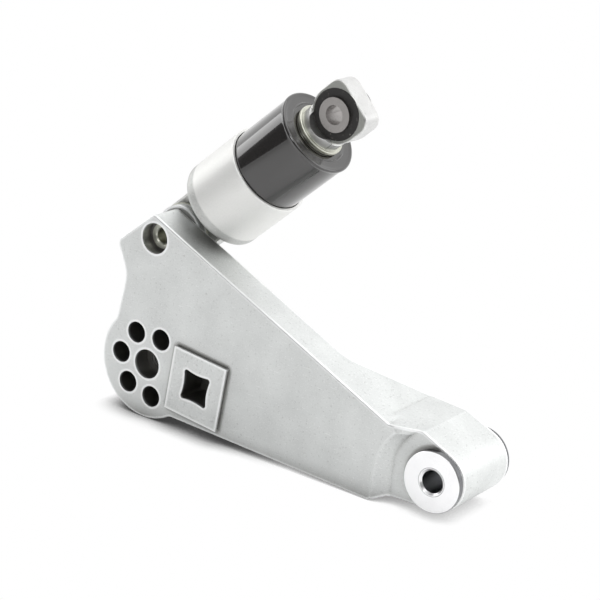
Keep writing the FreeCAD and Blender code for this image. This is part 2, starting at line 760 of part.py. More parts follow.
def cut_barrel(body):
    """The bore of the pivot barrel, with a seat for a dust seal at each end."""
    bore = new_sketch(body, "XZ_Plane")
    draw_circle(bore, (ZERO, ZERO), size("barrel_bore"))
    pocket_along_y(body, bore, size("barrel_rear") * 2)
    front_seat = new_sketch(body, "XZ_Plane")
    draw_circle(front_seat, (ZERO, ZERO), size("seal_radius"))
    pocket_along_y(body, front_seat, size("barrel_front") + size("seal_depth"))
    rear_seat = new_sketch(body, "XZ_Plane", size("seal_depth") - size("barrel_rear"))
    draw_circle(rear_seat, (ZERO, ZERO), size("seal_radius"))
    pocket_along_y(body, rear_seat, size("seal_depth") * 2)


def make_pivot_bushing():
    """The bushes and seals in the barrel, and the sleeve and flanges that bolt to the engine."""
    bush_bore = size("sleeve_radius") + size("running_fit")
    front_bush = size("barrel_front") + size("seal_depth")
    rear_bush = size("barrel_rear") - size("seal_depth") - size("bush_length")
    for label, start in (("pivot_bush_front", front_bush), ("pivot_bush_rear", rear_bush)):
        end = start + size("bush_length")
        turned(label, ring(bush_bore, size("barrel_bore"), start, end))
    rear_seal = size("barrel_rear") - size("seal_depth")
    for label, start in (("dust_seal_front", size("barrel_front")), ("dust_seal_rear", rear_seal)):
        end = start + size("seal_depth")
        turned(label, ring(bush_bore, size("seal_radius"), start, end))

    lead, bore = size("sleeve_lead"), size("sleeve_bore")
    turned(
        "pivot_sleeve",
        [
            (bore + lead, ZERO),
            (size("sleeve_radius"), ZERO),
            (size("sleeve_radius"), sleeve_end),
            (bore + lead, sleeve_end),
            (bore, sleeve_end - lead),
            (bore, lead),
        ],
    )
    rim = size("flange_chamfer")
    front = flange_back - size("front_flange")
    rear = sleeve_end - size("rear_flange")
    for label, start, end in (
        ("pivot_flange_front", front, flange_back),
        ("pivot_flange_rear", rear, sleeve_end),
    ):
        turned(label, ring(size("sleeve_radius"), size("flange_radius"), start, end, rim))


def make_damper_pin():
    """The hollow pin of the damper with its washers and retaining ring."""
    radius, bore = size("pin_radius"), size("pin_bore")
    groove = radius - size("circlip_depth")
    lead = size("pin_chamfer")
    on_pin(
        turned(
            "damper_pin",
            [
                (bore + lead, size("pin_counterbore_depth")),
                (radius, size("pin_counterbore_depth")),
                (radius, circlip_start),
                (groove, circlip_start),
                (groove, circlip_end),
                (radius, circlip_end),
                (radius, pin_end - lead),
                (radius - lead, pin_end),
                (bore, pin_end),
                (bore, size("pin_counterbore_depth") + lead),
            ],
        )
    )
    thrust_end = pin_boss_end + size("thrust_thickness")
    on_pin(turned("thrust_washer", ring(radius, size("thrust_radius"), pin_boss_end, thrust_end)))
    on_pin(
        turned(
            "rear_washer",
            ring(radius, size("rear_washer_radius"), rear_washer_start, circlip_start),
        )
    )
    on_pin(turned("retaining_ring", ring(groove, size("circlip_radius"), circlip_start, circlip_end)))


def make_damper_housing():
    """The cast cup of the damper with its lower lug."""
    body = new_body("damper_housing")
    bottom, bend, chamfer = size("cup_start"), size("cup_round"), size("cup_chamfer")
    profile = [
        (ZERO, bottom),
        (cup_radius - bend, bottom),
        (cup_radius, bottom + bend),
        (cup_radius, size("cup_end") - chamfer),
        (cup_radius - chamfer, size("cup_end")),
        (cup_bore, size("cup_end")),
        (cup_bore, size("cup_floor")),
        (ZERO, size("cup_floor")),
    ]
    corner = {1: ((bottom + bend, cup_radius - bend), bend, False)}
    turn_profile(body, profile, "X", corner)
    lug = new_sketch(body, "XZ_Plane")
    draw_circle(lug, (ZERO, ZERO), size("lug_radius"))
    pad_along_y_centred(body, lug, size("lug_width"))
    neck = new_sketch(body, "XZ_Plane")
    half, end = size("lug_radius"), bottom + bend
    draw_path(neck, [(ZERO, -half), (end, -half), (end, half), (ZERO, half)])
    pad_along_y_centred(body, neck, size("lug_width"))
    bore = new_sketch(body, "XZ_Plane", size("lug_width"))
    draw_circle(bore, (ZERO, ZERO), size("lug_bore"))
    pocket_along_y(body, bore, size("lug_width") * 2)
    return on_damper(body)


def pad_along_y_centred(body, sketch, length):
    """Pads a sketch of the XZ plane to both sides of it."""
    pad = body.newObject("PartDesign::Pad", f"{body.Name}_pad")
    pad.Profile = sketch
    pad.Midplane = True
    bind(pad, "Length", length)
    return pad


def make_lug_bush():
    """The plain bush pressed into the lower lug."""
    profile = ring(size("pin_radius") + size("running_fit"), size("lug_bore"), lug_front, lug_rear)
    on_pin(turned("lug_bush", profile))


def make_pressure_unit():
    """The pressure tube with its ball valve and rod guide, which stand in the cup."""
    floor = size("cup_floor")
    tube = ring(size("tube_bore"), size("tube_radius"), floor, tube_end)
    on_damper(turned("pressure_tube", tube, "X"))

    seat_top = floor + size("valve_height")
    port = size("valve_port")
    seat = ring(port, size("tube_bore"), floor, seat_top)
    on_damper(turned("valve_seat", seat, "X"))

    ball_sink = root(size("ball_radius") * size("ball_radius") - port * port)
    ball_centre = seat_top + ball_sink
    body = new_body("valve_ball")
    ball = body.newObject("PartDesign::AdditiveSphere", "valve_ball_sphere")
    bind(ball, "Radius", size("ball_radius"))
    bind(ball, "AttachmentOffset.Base.x", ball_centre)
    plane = next(item for item in body.Origin.OriginFeatures if item.Role == "XY_Plane")
    ball.AttachmentSupport = [(plane, "")]
    ball.MapMode = "FlatFace"
    on_damper(body)

    outer, wall = size("cage_radius"), size("cage_wall")
    cage_top = seat_top + size("cage_height")
    cage = [
        (outer - wall, seat_top),
        (outer, seat_top),
        (outer, cage_top),
        (port, cage_top),
        (port, cage_top - wall),
        (outer - wall, cage_top - wall),
    ]
    on_damper(turned("valve_cage", cage, "X"))

    rod_bore = size("rod_radius") + size("running_fit")
    guide_top = tube_end + size("guide_head")
    seal_floor = guide_top - size("rod_seal_height")
    guide = [
        (rod_bore, tube_end - size("guide_spigot")),
        (size("tube_bore"), tube_end - size("guide_spigot")),
        (size("tube_bore"), tube_end),
        (size("tube_radius"), tube_end),
        (size("tube_radius"), guide_top),
        (size("rod_seal_radius"), guide_top),
        (size("rod_seal_radius"), seal_floor),
        (rod_bore, seal_floor),
    ]
    on_damper(turned("rod_guide", guide, "X"))
    seal = ring(rod_bore, size("rod_seal_radius"), seal_floor, guide_top)
    on_damper(turned("rod_seal", seal, "X"))


def make_rod():
    """The piston rod, piston, dust cover and upper spring seat."""
    rod_end = eye_reach - size("eye_bore")
    spigot, radius = size("rod_spigot"), size("rod_radius")
    rod = [
        (ZERO, piston_start),
        (spigot, piston_start),
        (spigot, piston_end),
        (radius, piston_end),
        (radius, rod_end),
        (ZERO, rod_end),
    ]
    on_damper(turned("piston_rod", rod, "X"))
    piston_radius = size("tube_bore") - size("running_fit")
    piston = ring(spigot, piston_radius, piston_start, piston_end)
    on_damper(turned("piston", piston, "X"))

    make_dust_cover()
    seat_start = cover_underside - size("seat_height")
    seat_bore = size("spring_radius") - size("spring_wire")
    seat_edge = bead_middle - size("bead_radius") - size("side_gap")
    seat = ring(seat_bore, seat_edge, seat_start, cover_underside)
    on_damper(turned("spring_seat", seat, "X"))

    edge = size("washer_chamfer")
    washer = ring(radius, size("washer_radius"), size("cover_top"), washer_end, edge)
    on_damper(turned("eye_washer", washer, "X"))
    nut = ring(radius, size("locknut_radius"), washer_end, locknut_end, edge)
    on_damper(turned("lock_nut", nut, "X"))


def make_dust_cover():
    """The drawn dust cover: a thin tube with an end wall and a rounded bead."""
    body = new_body("dust_cover")
    outer = size("cover_radius")
    profile = [
        (cover_bore, size("cover_start")),
        (outer, size("cover_start")),
        (outer, size("cover_top")),
        (size("rod_radius"), size("cover_top")),
        (size("rod_radius"), cover_underside),
        (cover_bore, cover_underside),
    ]
    turn_profile(body, profile, "X")
    bead = new_sketch(body, "XY_Plane")
    radius = size("bead_radius")
    centre = (size("cover_top") + size("bead_height") - radius, bead_middle)
    draw_circle(bead, centre, radius)
    roll = body.newObject("PartDesign::Revolution", "dust_cover_bead")
    roll.Profile = bead
    roll.ReferenceAxis = (bead, ["H_Axis"])
    roll.Angle = 360
    return on_damper(body)


def make_main_spring():
    """The compression spring between the cup's floor and the upper spring seat."""
    body = new_body("main_spring")
    wire = size("spring_wire") / 2
    start = size("cup_floor") + wire
    end = cover_underside - size("seat_height") - wire
    sketch = new_sketch(body, "XY_Plane")
    draw_circle(sketch, (start, size("spring_radius")), wire)
    doc.recompute()
    helix = body.newObject("PartDesign::AdditiveHelix", "main_spring_coil")
    helix.Profile = sketch
    helix.ReferenceAxis = (sketch, ["H_Axis"])
    helix.Mode = "height-turns-growth"
    bind(helix, "Height", end - start)
    bind(helix, "Turns", size("spring_turns"))
    helix.Growth = 0
    doc.recompute()
    return on_damper(body)


def make_upper_eye():
    """The upper eye with its rubber bush and steel sleeve."""
    body = new_body("upper_eye")
    centre = eye_reach
    end = centre + size("eye_flat")
    radius = size("eye_radius")
    head = new_sketch(body, "XZ_Plane")
    points = [(centre, radius), (centre - radius, ZERO), (centre, -radius)]
    points += [(end, -radius), (end, radius)]
    quarter = ((centre, ZERO), radius, True)
    draw_path(head, points, {0: quarter, 1: quarter})
    feature = pad_along_y_centred(body, head, size("eye_width"))
    doc.recompute()
    tips = edges_at(feature.Shape, [(end, -radius), (end, radius)])
    feature = round_edges(body, feature, tips, size("eye_corner"))
    rims = []
    for side in (-1, 1):
        rims += outline_edges(feature.Shape, side * size("eye_width").value / 2)
    chamfer_edges(body, feature, rims, size("eye_chamfer"))

    trim = new_sketch(body, "XZ_Plane", size("eye_width"))
    draw_circle(trim, (centre, ZERO), size("eye_bore"))
    neck = size("eye_neck")
    profile = [
        (ZERO, locknut_end),
        (neck, locknut_end),
        (neck, locknut_end + size("neck_height")),
        (ZERO, centre - size("rod_radius")),
    ]
    turn_profile(body, profile, "X")
    pocket_along_y(body, trim, size("eye_width") * 2)
    socket_sketch = new_sketch(body, "YZ_Plane")
    draw_circle(socket_sketch, (ZERO, ZERO), size("rod_radius"))
    doc.recompute()
    before = body.Shape.Volume
    socket = body.newObject("PartDesign::Pocket", "upper_eye_socket")
    socket.Profile = socket_sketch
    socket.Reversed = True
    bind(socket, "Length", centre)
    doc.recompute()
    if body.Shape.Volume >= before:
        raise RuntimeError("the rod's socket removes nothing")
    on_damper(body)

    half_rubber = size("eye_width") / 2 + size("rubber_stand")
    half_sleeve = size("eye_sleeve_length") / 2
    rubber = ring(size("eye_sleeve_radius"), size("eye_bore"), -half_rubber, half_rubber)
    at_eye(turned("eye_rubber", rubber))
    sleeve = ring(size("eye_sleeve_bore"), size("eye_sleeve_radius"), -half_sleeve, half_sleeve)
    at_eye(turned("eye_sleeve", sleeve))


def at_eye(body):
    """Moves a body that was turned about Y to the upper eye."""
    angle = size("damper_angle")
    bind(body, "Placement.Base.x", eye_reach * cosine(angle) - size("pin_x"))
    bind(body, "Placement.Base.y", damper_y)
    bind(body, "Placement.Base.z", eye_reach * sine(angle) + size("pin_z"))
    return body


def check_document():
    """Stops if an object failed or a sub-part has no valid solid."""
    for item in doc.Objects:
        if "Invalid" in item.State or "Error" in item.State:
            raise RuntimeError(f"{item.Name} failed: {item.State}")
    bodies = [item for item in doc.Objects if item.TypeId == "PartDesign::Body"]
    for body in bodies:
        if body.Shape.isNull() or not body.Shape.isValid() or not body.Shape.Solids:
            raise RuntimeError(f"{body.Label} has no valid solid")
    return bodies


def export(bodies):
    """Writes each sub-part to its own file."""
    os.makedirs("parts", exist_ok=True)
    for body in bodies:
        body.Shape.exportStep(f"parts/{body.Label}.step")
        box = body.Shape.BoundBox
        print(
            f"{body.Label:20s} {len(body.Shape.Solids)} solid {body.Shape.Volume:10.1f} mm3"
            f"  x {box.XMin:7.1f} {box.XMax:7.1f}  y {box.YMin:6.1f} {box.YMax:6.1f}"
            f"  z {box.ZMin:6.1f} {box.ZMax:6.1f}"
        )


make_lever_arm()
make_pivot_bushing()
make_damper_pin()
make_damper_housing()
make_lug_bush()
make_pressure_unit()
make_rod()
make_main_spring()
make_upper_eye()
doc.recompute()
export(check_document())
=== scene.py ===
import logging
import math
from dataclasses import dataclass, field
from enum import Enum
from typing import Any

import bmesh
import bpy
from mathutils import Matrix, Vector


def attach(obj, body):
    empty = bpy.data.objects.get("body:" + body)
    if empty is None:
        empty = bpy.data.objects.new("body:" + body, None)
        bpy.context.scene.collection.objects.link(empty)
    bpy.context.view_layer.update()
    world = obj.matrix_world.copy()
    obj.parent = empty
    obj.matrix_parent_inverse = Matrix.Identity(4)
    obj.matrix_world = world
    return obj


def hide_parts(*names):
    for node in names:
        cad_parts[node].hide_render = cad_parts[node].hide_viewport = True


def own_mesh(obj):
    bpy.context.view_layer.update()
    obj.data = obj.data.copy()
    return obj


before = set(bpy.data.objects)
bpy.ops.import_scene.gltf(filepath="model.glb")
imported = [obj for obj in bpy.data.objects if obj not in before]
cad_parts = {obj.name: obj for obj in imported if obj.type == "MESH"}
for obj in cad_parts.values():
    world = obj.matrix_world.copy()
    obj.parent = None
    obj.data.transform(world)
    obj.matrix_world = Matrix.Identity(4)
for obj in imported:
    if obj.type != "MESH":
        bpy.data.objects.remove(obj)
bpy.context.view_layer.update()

MM = 0.001
Socket = bpy.types.NodeSocket
Tree = bpy.types.NodeTree
Point = tuple[float, float, float]

# The node types that are used most, and the setting that rounds the ends of a mapped range.
MATH = "ShaderNodeMath"
MAP_RANGE = "ShaderNodeMapRange"
MIX = "ShaderNodeMix"
SMOOTH = {"interpolation_type": "SMOOTHSTEP"}
# New meshes are shaded as one smooth face up to this bend, and sharp beyond it.
CREASE_DEG = 32.0

log = logging.getLogger("belt_tensioner")


def linear(hex_colour: str) -> tuple[float, float, float, float]:
    """Turns an sRGB hex colour into the linear colour that a shader takes.

    Args:
        hex_colour: Six hex digits, such as "D6D7D4".

    Returns:
        Red, green, blue and alpha, linear.
    """
    channels = (int(hex_colour[i : i + 2], 16) / 255 for i in (0, 2, 4))
    red, green, blue = (
        c / 12.92 if c <= 0.04045 else ((c + 0.055) / 1.055) ** 2.4 for c in channels
    )
    return (red, green, blue, 1.0)


def per_metre(size_mm: float) -> float:
    """The texture scale whose features are about this many millimetres wide."""
    return 1.0 / (size_mm * MM)


def add_node(
    tree: Tree,
    kind: str,
    settings: dict[str, Any] | None = None,
    inputs: dict[str | int, Any] | None = None,
) -> bpy.types.Node:
    """Adds a node with its settings, input values and links.

    Args:
        tree: The node tree to add to.
        kind: The node's type name.
        settings: Properties of the node.
        inputs: For each input, by name or number, a value or the output socket that feeds it.

    Returns:
        The new node.
    """
    node = tree.nodes.new(kind)
    for name, value in (settings or {}).items():
        setattr(node, name, value)
    for name, value in (inputs or {}).items():
        if isinstance(value, Socket):
            tree.links.new(value, node.inputs[name])
        else:
            node.inputs[name].default_value = value
    return node


def new_material(name: str) -> tuple[bpy.types.Material, Tree, bpy.types.Node]:
    """An empty node material with its output node.

    Args:
        name: The material's name.

    Returns:
        The material, its node tree and its output node.
    """
    material = bpy.data.materials.new(name)
    material.use_nodes = True
    tree = material.node_tree
    tree.nodes.clear()
    return material, tree, tree.nodes.new("ShaderNodeOutputMaterial")


class Surface(Enum):
    """How a metal surface was made, which sets the shape of its finest marks."""

    BLASTED = "blasted"
    TURNED_ABOUT_Y = "turned about Y"
    DRAWN = "drawn"


@dataclass(frozen=True)
class Hollow:
    """A round hollow along Y whose walls are coloured dark, as painted shade inside a hole.

    Args:
        x_mm: Its centre along X.
        z_mm: Its centre along Z.
        radius_mm: Its radius.
        start_mm: The depth along Y at which it starts to darken.
        end_mm: The depth at which it ends.
        fade_mm: The length over which it darkens.
        soft_mm: How soft its outline is.
    """

    x_mm: float
    z_mm: float
    radius_mm: float
    start_mm: float
    end_mm: float
    fade_mm: float = 2.0
    soft_mm: float = 0.05

    def mask(self, tree: Tree, place: Socket) -> Socket:
        """How much of a point lies in the hollow.

        Args:
            tree: The material's node tree.
            place: The object coordinates.

        Returns:
            A socket that is 1 inside and 0 outside.
        """
        flat = add_node(
            tree, "ShaderNodeVectorMath", {"operation": "MULTIPLY"}, {0: place, 1: (1.0, 0.0, 1.0)}
        )
        centre = (self.x_mm * MM, 0.0, self.z_mm * MM)
        ends = {0: flat.outputs["Vector"], 1: centre}
        away = add_node(tree, "ShaderNodeVectorMath", {"operation": "DISTANCE"}, ends)
        depth = add_node(tree, "ShaderNodeSeparateXYZ", None, {0: place}).outputs["Y"]
        inside: Socket | float = 1.0
        for value, zero_mm, one_mm in (
            (away.outputs["Value"], self.radius_mm + self.soft_mm, self.radius_mm - self.soft_mm),
            (depth, self.start_mm, self.start_mm + self.fade_mm),
            (depth, self.end_mm + 2 * self.soft_mm, self.end_mm),
        ):
            limits = {"Value": value, "From Min": zero_mm * MM, "From Max": one_mm * MM}
            step = add_node(tree, MAP_RANGE, SMOOTH, limits).outputs["Result"]
            both = {0: inside, 1: step}
            inside = add_node(tree, MATH, {"operation": "MULTIPLY"}, both).outputs[0]
        return inside


@dataclass(frozen=True)
class Groove:
    """A fine dark ring round a line along Y, where two turned pieces meet.

    Args:
        x_mm: Its centre along X.
        z_mm: Its centre along Z.
        radius_mm: Its middle radius.
        half_width_mm: Half its width.
        end_mm: The depth along Y at which it ends.
        start_mm: The depth at which it starts, outside the part unless it is given.
    """

    x_mm: float
    z_mm: float
    radius_mm: float
    half_width_mm: float
    end_mm: float
    start_mm: float = -99.0

    def mask(self, tree: Tree, place: Socket) -> Socket:
        """How much of a point lies in the groove.

        Args:
            tree: The material's node tree.
            place: The object coordinates.

        Returns:
            A socket that is 1 in the groove and 0 beside it.
        """
        wide, core = (
            Hollow(self.x_mm, self.z_mm, radius, self.start_mm, self.end_mm).mask(tree, place)
            for radius in (self.radius_mm + self.half_width_mm, self.radius_mm - self.half_width_mm)
        )
        return add_node(tree, MATH, {"operation": "SUBTRACT"}, {0: wide, 1: core}).outputs[0]


@dataclass(frozen=True)
class Spots:
    """Scattered spots: the peaks of a noise, or its troughs where full is below start.

    Args:
        size_mm: About how wide the noise's features are.
        detail: How many finer layers the noise has.
        start: The level of the noise at which a spot starts.
        full: The level at which it is full.
        share: How strong a full spot is.
    """

    size_mm: float
    detail: float
    start: float
    full: float
    share: float = 1.0

    def mask(self, tree: Tree, place: Socket) -> Socket:
        """The strength of the spots, from coordinates in metres."""
        inputs = {"Vector": place, "Scale": per_metre(self.size_mm), "Detail": self.detail}
        noise = add_node(tree, "ShaderNodeTexNoise", None, inputs).outputs["Fac"]
        levels = {
            "Value": noise, "From Min": self.start, "From Max": self.full,
            "To Min": 0.0, "To Max": self.share,
        }
        return add_node(tree, MAP_RANGE, None, levels).outputs["Result"]


@dataclass(frozen=True)
class Corners:
    """The corners of a surface, found by the share that is open near a point.

    Args:
        reach_mm: How far a corner is felt.
        clear: The open share at which a corner starts to count.
        full: The open share at which it counts in full.
        share: How strong a full corner is.
        outer: Whether outer corners are meant. They are felt inside the solid.
    """

    reach_mm: float
    clear: float
    full: float
    share: float
    outer: bool = False

    def mask(self, tree: Tree) -> Socket:
        """The strength of the corners."""
        settings: dict[str, Any] = {"samples": 6}
        if self.outer:
            settings = {"samples": 8, "inside": True, "only_local": True}
        reach = {"Distance": self.reach_mm * MM}
        near = add_node(tree, "ShaderNodeAmbientOcclusion", settings, reach)
        levels = {
            "Value": near.outputs["AO"], "From Min": self.clear, "From Max": self.full,
            "To Min": 0.0, "To Max": self.share,
        }
        return add_node(tree, MAP_RANGE, None, levels).outputs["Result"]


@dataclass(frozen=True)
class Metal:
    """A bare metal: fine marks, slow tone changes, spots, scratches, painted highlights and painted
    shade.

    Args:
        name: The material's name.
        colour: Its main colour.
        shade: The darker tone that it drifts to.
        speck_and_highlight: The colour of its specks and scratches, and of the painted highlight on
            its outer edges.
        roughness: The shader's roughness.
        grain_mm: How wide its finest marks are.
        grain_depth_mm: How deep they are.
        mottle_mm: How wide the drifts of tone are.
        speck_mm: How wide the specks are. The pits are 1.7 times as wide.
        speck_share: How strong the specks are.
        scratch_share: How strong the scratches are.
        surface: How the surface was made.
        pit_share: How strong the dark pits are.
        edge_highlight_share: How bright the painted highlight on the outer edges is.
        edge_highlight_mm: How wide that is.
        corner_shade_share: How dark the painted shade in the inner corners is.
        corner_shade_mm: How wide that is.
        dark: The colour of pits, and of the painted shade in inner corners and hollows.
        hollows: The places coloured dark, such as painted shade in holes.
    """

    name: str
    colour: str
    shade: str
    speck_and_highlight: str
    roughness: float
    grain_mm: float
    grain_depth_mm: float
    mottle_mm: float = 14.0
    speck_mm: float = 1.2
    speck_share: float = 0.0
    scratch_share: float = 0.0
    surface: Surface = Surface.BLASTED
    pit_share: float = 0.0
    edge_highlight_share: float = 0.0
    edge_highlight_mm: float = 1.4
    corner_shade_share: float = 0.0
    corner_shade_mm: float = 9.0
    dark: str = "8A8884"
    hollows: tuple[Hollow | Groove, ...] = ()

    def marks(self, tree: Tree, place: Socket) -> Socket:
        """The coordinates of the finest marks, stretched round or along a machined surface."""
        if self.surface is Surface.BLASTED:
            return place
        stretch = (1.0, 0.06, 1.0) if self.surface is Surface.DRAWN else (1.0, 12.0, 1.0)
        mapping = add_node(tree, "ShaderNodeMapping", None, {"Vector": place, "Scale": stretch})
        return mapping.outputs["Vector"]

    def scratches(self, tree: Tree, place: Socket) -> Socket:
        """Fine short scratches in two directions."""
        width_mm = 0.45
        flecks = Spots(width_mm, detail=1.0, start=0.70, full=0.76)
        layers = []
        for turn_deg, length_mm in ((35.0, 9.0), (-50.0, 6.0)):
            inputs = {
                "Vector": place,
                "Rotation": (0.0, math.radians(turn_deg), 0.0),
                "Scale": (width_mm / length_mm, 1.0, 1.0),
            }
            turned = add_node(tree, "ShaderNodeMapping", None, inputs).outputs["Vector"]
            layers.append(flecks.mask(tree, turned))
        both = add_node(tree, MATH, {"operation": "MAXIMUM"}, dict(enumerate(layers))).outputs[0]
        strength = {0: both, 1: self.scratch_share}
        return add_node(tree, MATH, {"operation": "MULTIPLY"}, strength).outputs[0]

    def corner_shade(self, tree: Tree) -> Socket:
        """Painted shade in the inner corners, wide and close."""
        share = self.corner_shade_share
        wide = Corners(self.corner_shade_mm, clear=0.95, full=0.40, share=share).mask(tree)
        close = Corners(self.corner_shade_mm / 4, clear=0.975, full=0.83, share=share).mask(tree)
        return add_node(tree, MATH, {"operation": "MAXIMUM"}, {0: wide, 1: close}).outputs[0]

    def layers(self, tree: Tree, place: Socket) -> list[tuple[Socket, str]]:
        """The tones that lie over each other, each with its strength, from the lowest up."""
        mottle = Spots(self.mottle_mm, detail=6.0, start=0.32, full=0.68)
        found = [(mottle.mask(tree, place), self.colour)]
        if self.speck_share:
            specks = Spots(self.speck_mm, 2.0, start=0.60, full=0.70, share=self.speck_share)
            found.append((specks.mask(tree, place), self.speck_and_highlight))
        if self.pit_share:
            pits = Spots(self.speck_mm * 1.7, 3.0, start=0.40, full=0.30, share=self.pit_share)
            found.append((pits.mask(tree, place), self.dark))
        if self.scratch_share:
            found.append((self.scratches(tree, place), self.speck_and_highlight))
        # Painted shade: the inner corners are coloured dark.
        if self.corner_shade_share:
            found.append((self.corner_shade(tree), self.dark))
        # Painted highlight: the outer edges are coloured bright.
        if self.edge_highlight_share:
            share = self.edge_highlight_share
            edge_highlight = Corners(self.edge_highlight_mm, clear=0.97, full=0.86, share=share, outer=True)
            found.append((edge_highlight.mask(tree), self.speck_and_highlight))
        # Hollows: painted shade in holes and bores, fine dark rings and the eye's darker faces.
        return found + [(hollow.mask(tree, place), self.dark) for hollow in self.hollows]

    def material(self) -> bpy.types.Material:
        """Builds the material."""
        material, tree, output = new_material(self.name)
        place = add_node(tree, "ShaderNodeTexCoord").outputs["Object"]
        colour: Socket | tuple[float, float, float, float] = linear(self.shade)
        for share, tone in self.layers(tree, place):
            inputs = {0: share, 6: colour, 7: linear(tone)}
            colour = add_node(tree, MIX, {"data_type": "RGBA"}, inputs).outputs[2]
        scale = per_metre(self.grain_mm)
        marks = {"Vector": self.marks(tree, place), "Scale": scale, "Detail": 3.0}
        grain = add_node(tree, "ShaderNodeTexNoise", None, marks).outputs["Fac"]
        spread = 0.07
        levels = {
            "Value": grain, "From Min": 0.3, "From Max": 0.7,
            "To Min": self.roughness - spread, "To Max": self.roughness + spread,
        }
        waves = {"Strength": 0.6, "Distance": self.grain_depth_mm * MM, "Height": grain}
        bump = add_node(tree, "ShaderNodeBump", None, waves)
        inputs = {
            "Base Color": colour,
            "Metallic": 1.0,
            "Roughness": add_node(tree, MAP_RANGE, None, levels).outputs["Result"],
            "Normal": bump.outputs["Normal"],
        }
        shader = add_node(tree, "ShaderNodeBsdfPrincipled", None, inputs)
        tree.links.new(shader.outputs["BSDF"], output.inputs["Surface"])
        return material


@dataclass(frozen=True)
class Moulding:
    """A moulded plastic or rubber with faint tone changes and a fine surface.

    Args:
        name: The material's name.
        colour: Its main colour.
        shade: The darker tone that it drifts to.
        roughness: The shader's roughness.
        ior: Its index of refraction.
        grain_mm: How wide the waves of its surface are.
        grain_depth_mm: How deep they are.
        gloss_coat: How much of a clear coat it has.
        dust: The colour of the dust on it.
        dust_share: How strong the dust is.
    """

    name: str
    colour: str
    shade: str
    roughness: float
    ior: float
    grain_mm: float
    grain_depth_mm: float
    gloss_coat: float = 0.0
    dust: str = "8E8C86"
    dust_share: float = 0.0

    def material(self) -> bpy.types.Material:
        """Builds the material."""
        material, tree, output = new_material(self.name)
        place = add_node(tree, "ShaderNodeTexCoord").outputs["Object"]
        waves = {"Vector": place, "Scale": per_metre(self.grain_mm), "Detail": 4.0}
        grain = add_node(tree, "ShaderNodeTexNoise", None, waves).outputs["Fac"]
        levels = {"Value": grain, "From Min": 0.35, "From Max": 0.65}
        drift = add_node(tree, MAP_RANGE, None, levels)
        tones = {0: drift.outputs["Result"], 6: linear(self.shade), 7: linear(self.colour)}
        colour = add_node(tree, MIX, {"data_type": "RGBA"}, tones).outputs[2]
        if self.dust_share:
            specks = Spots(0.9, detail=1.0, start=0.70, full=0.74, share=self.dust_share)
            tones = {0: specks.mask(tree, place), 6: colour, 7: linear(self.dust)}
            colour = add_node(tree, MIX, {"data_type": "RGBA"}, tones).outputs[2]
        levels = {
            "Value": grain, "From Min": 0.3, "From Max": 0.7,
            "To Min": self.roughness * 0.8, "To Max": self.roughness * 1.2,
        }
        waves = {"Strength": 0.4, "Distance": self.grain_depth_mm * MM, "Height": grain}
        bump = add_node(tree, "ShaderNodeBump", None, waves)
        inputs = {
            "Base Color": colour,
            "Roughness": add_node(tree, MAP_RANGE, None, levels).outputs["Result"],
            "IOR": self.ior,
            "Coat Weight": self.gloss_coat,
            "Coat Roughness": 0.06,
            "Normal": bump.outputs["Normal"],
        }
        shader = add_node(tree, "ShaderNodeBsdfPrincipled", None, inputs)
        tree.links.new(shader.outputs["BSDF"], output.inputs["Surface"])
        return material


# The hub's relief holes and counterbore, the square drive and the damper pin's counterbore,
# whose walls are coloured dark as painted shade.
LEVER_HOLE_SHADE = (
    Hollow(-157.2, 7.6, 21.4, 0.2, 17.6),
    Hollow(-127.2, 4.8, 11.5, -1.6, 13.3),
    Hollow(-158.3, 68.7, 7.3, 0.3, 6.2, 6.0),
)
# Die-cast aluminium, blasted: an even pale grey satin with scattered bright grit marks, drawn
# wider than real ones so that a picture shows them.
# Its outer edges carry a painted highlight, its inner corners and hub holes painted shade.
CAST_ALUMINIUM = Metal(
    "cast_aluminium", "DFE1E0", "D5D7D6", "F6F7F7", roughness=0.46, grain_mm=0.55,
    grain_depth_mm=0.09, mottle_mm=16.0, speck_mm=0.7, speck_share=0.5, scratch_share=0.5,
    pit_share=0.25, edge_highlight_share=0.9, corner_shade_share=0.8, dark="7E7D7A", hollows=LEVER_HOLE_SHADE,
)
# The damper's casting, blasted a little finer, with less painted shade in its corners.
DAMPER_ALUMINIUM = Metal(
    "damper_aluminium", "CECFCD", "C4C5C3", "ECECEA", roughness=0.55, grain_mm=0.5,
    grain_depth_mm=0.07, mottle_mm=7.0, speck_mm=0.6, speck_share=0.5, scratch_share=0.3,
    pit_share=0.25, edge_highlight_share=0.9, corner_shade_share=0.5, dark="7E7D7A",
)
# Pressed steel flange, polished: nearly white, with faint turning rings and two fine grooves.
POLISHED_STEEL = Metal(
    "polished_steel", "F6F6F7", "F0F0F1", "FFFFFF", roughness=0.24, grain_mm=0.3,
    grain_depth_mm=0.01, mottle_mm=8.0, surface=Surface.TURNED_ABOUT_Y, dark="77787A",
    hollows=(Groove(0.0, 0.0, 6.45, 0.12, 0.5), Groove(0.0, 0.0, 14.0, 0.14, 60.0)),
)
# The same steel, coloured dark inside the sleeve's bore as painted shade.
BORE_SHADE_STEEL = Metal(
    "steel_with_painted_bore_shade", "F6F6F7", "F0F0F1", "FFFFFF", roughness=0.30, grain_mm=0.3,
    grain_depth_mm=0.01, mottle_mm=8.0, surface=Surface.TURNED_ABOUT_Y, dark="9A9B9D",
    hollows=(Hollow(0.0, 0.0, 5.25, 0.9, 42.6, 0.6),),
)
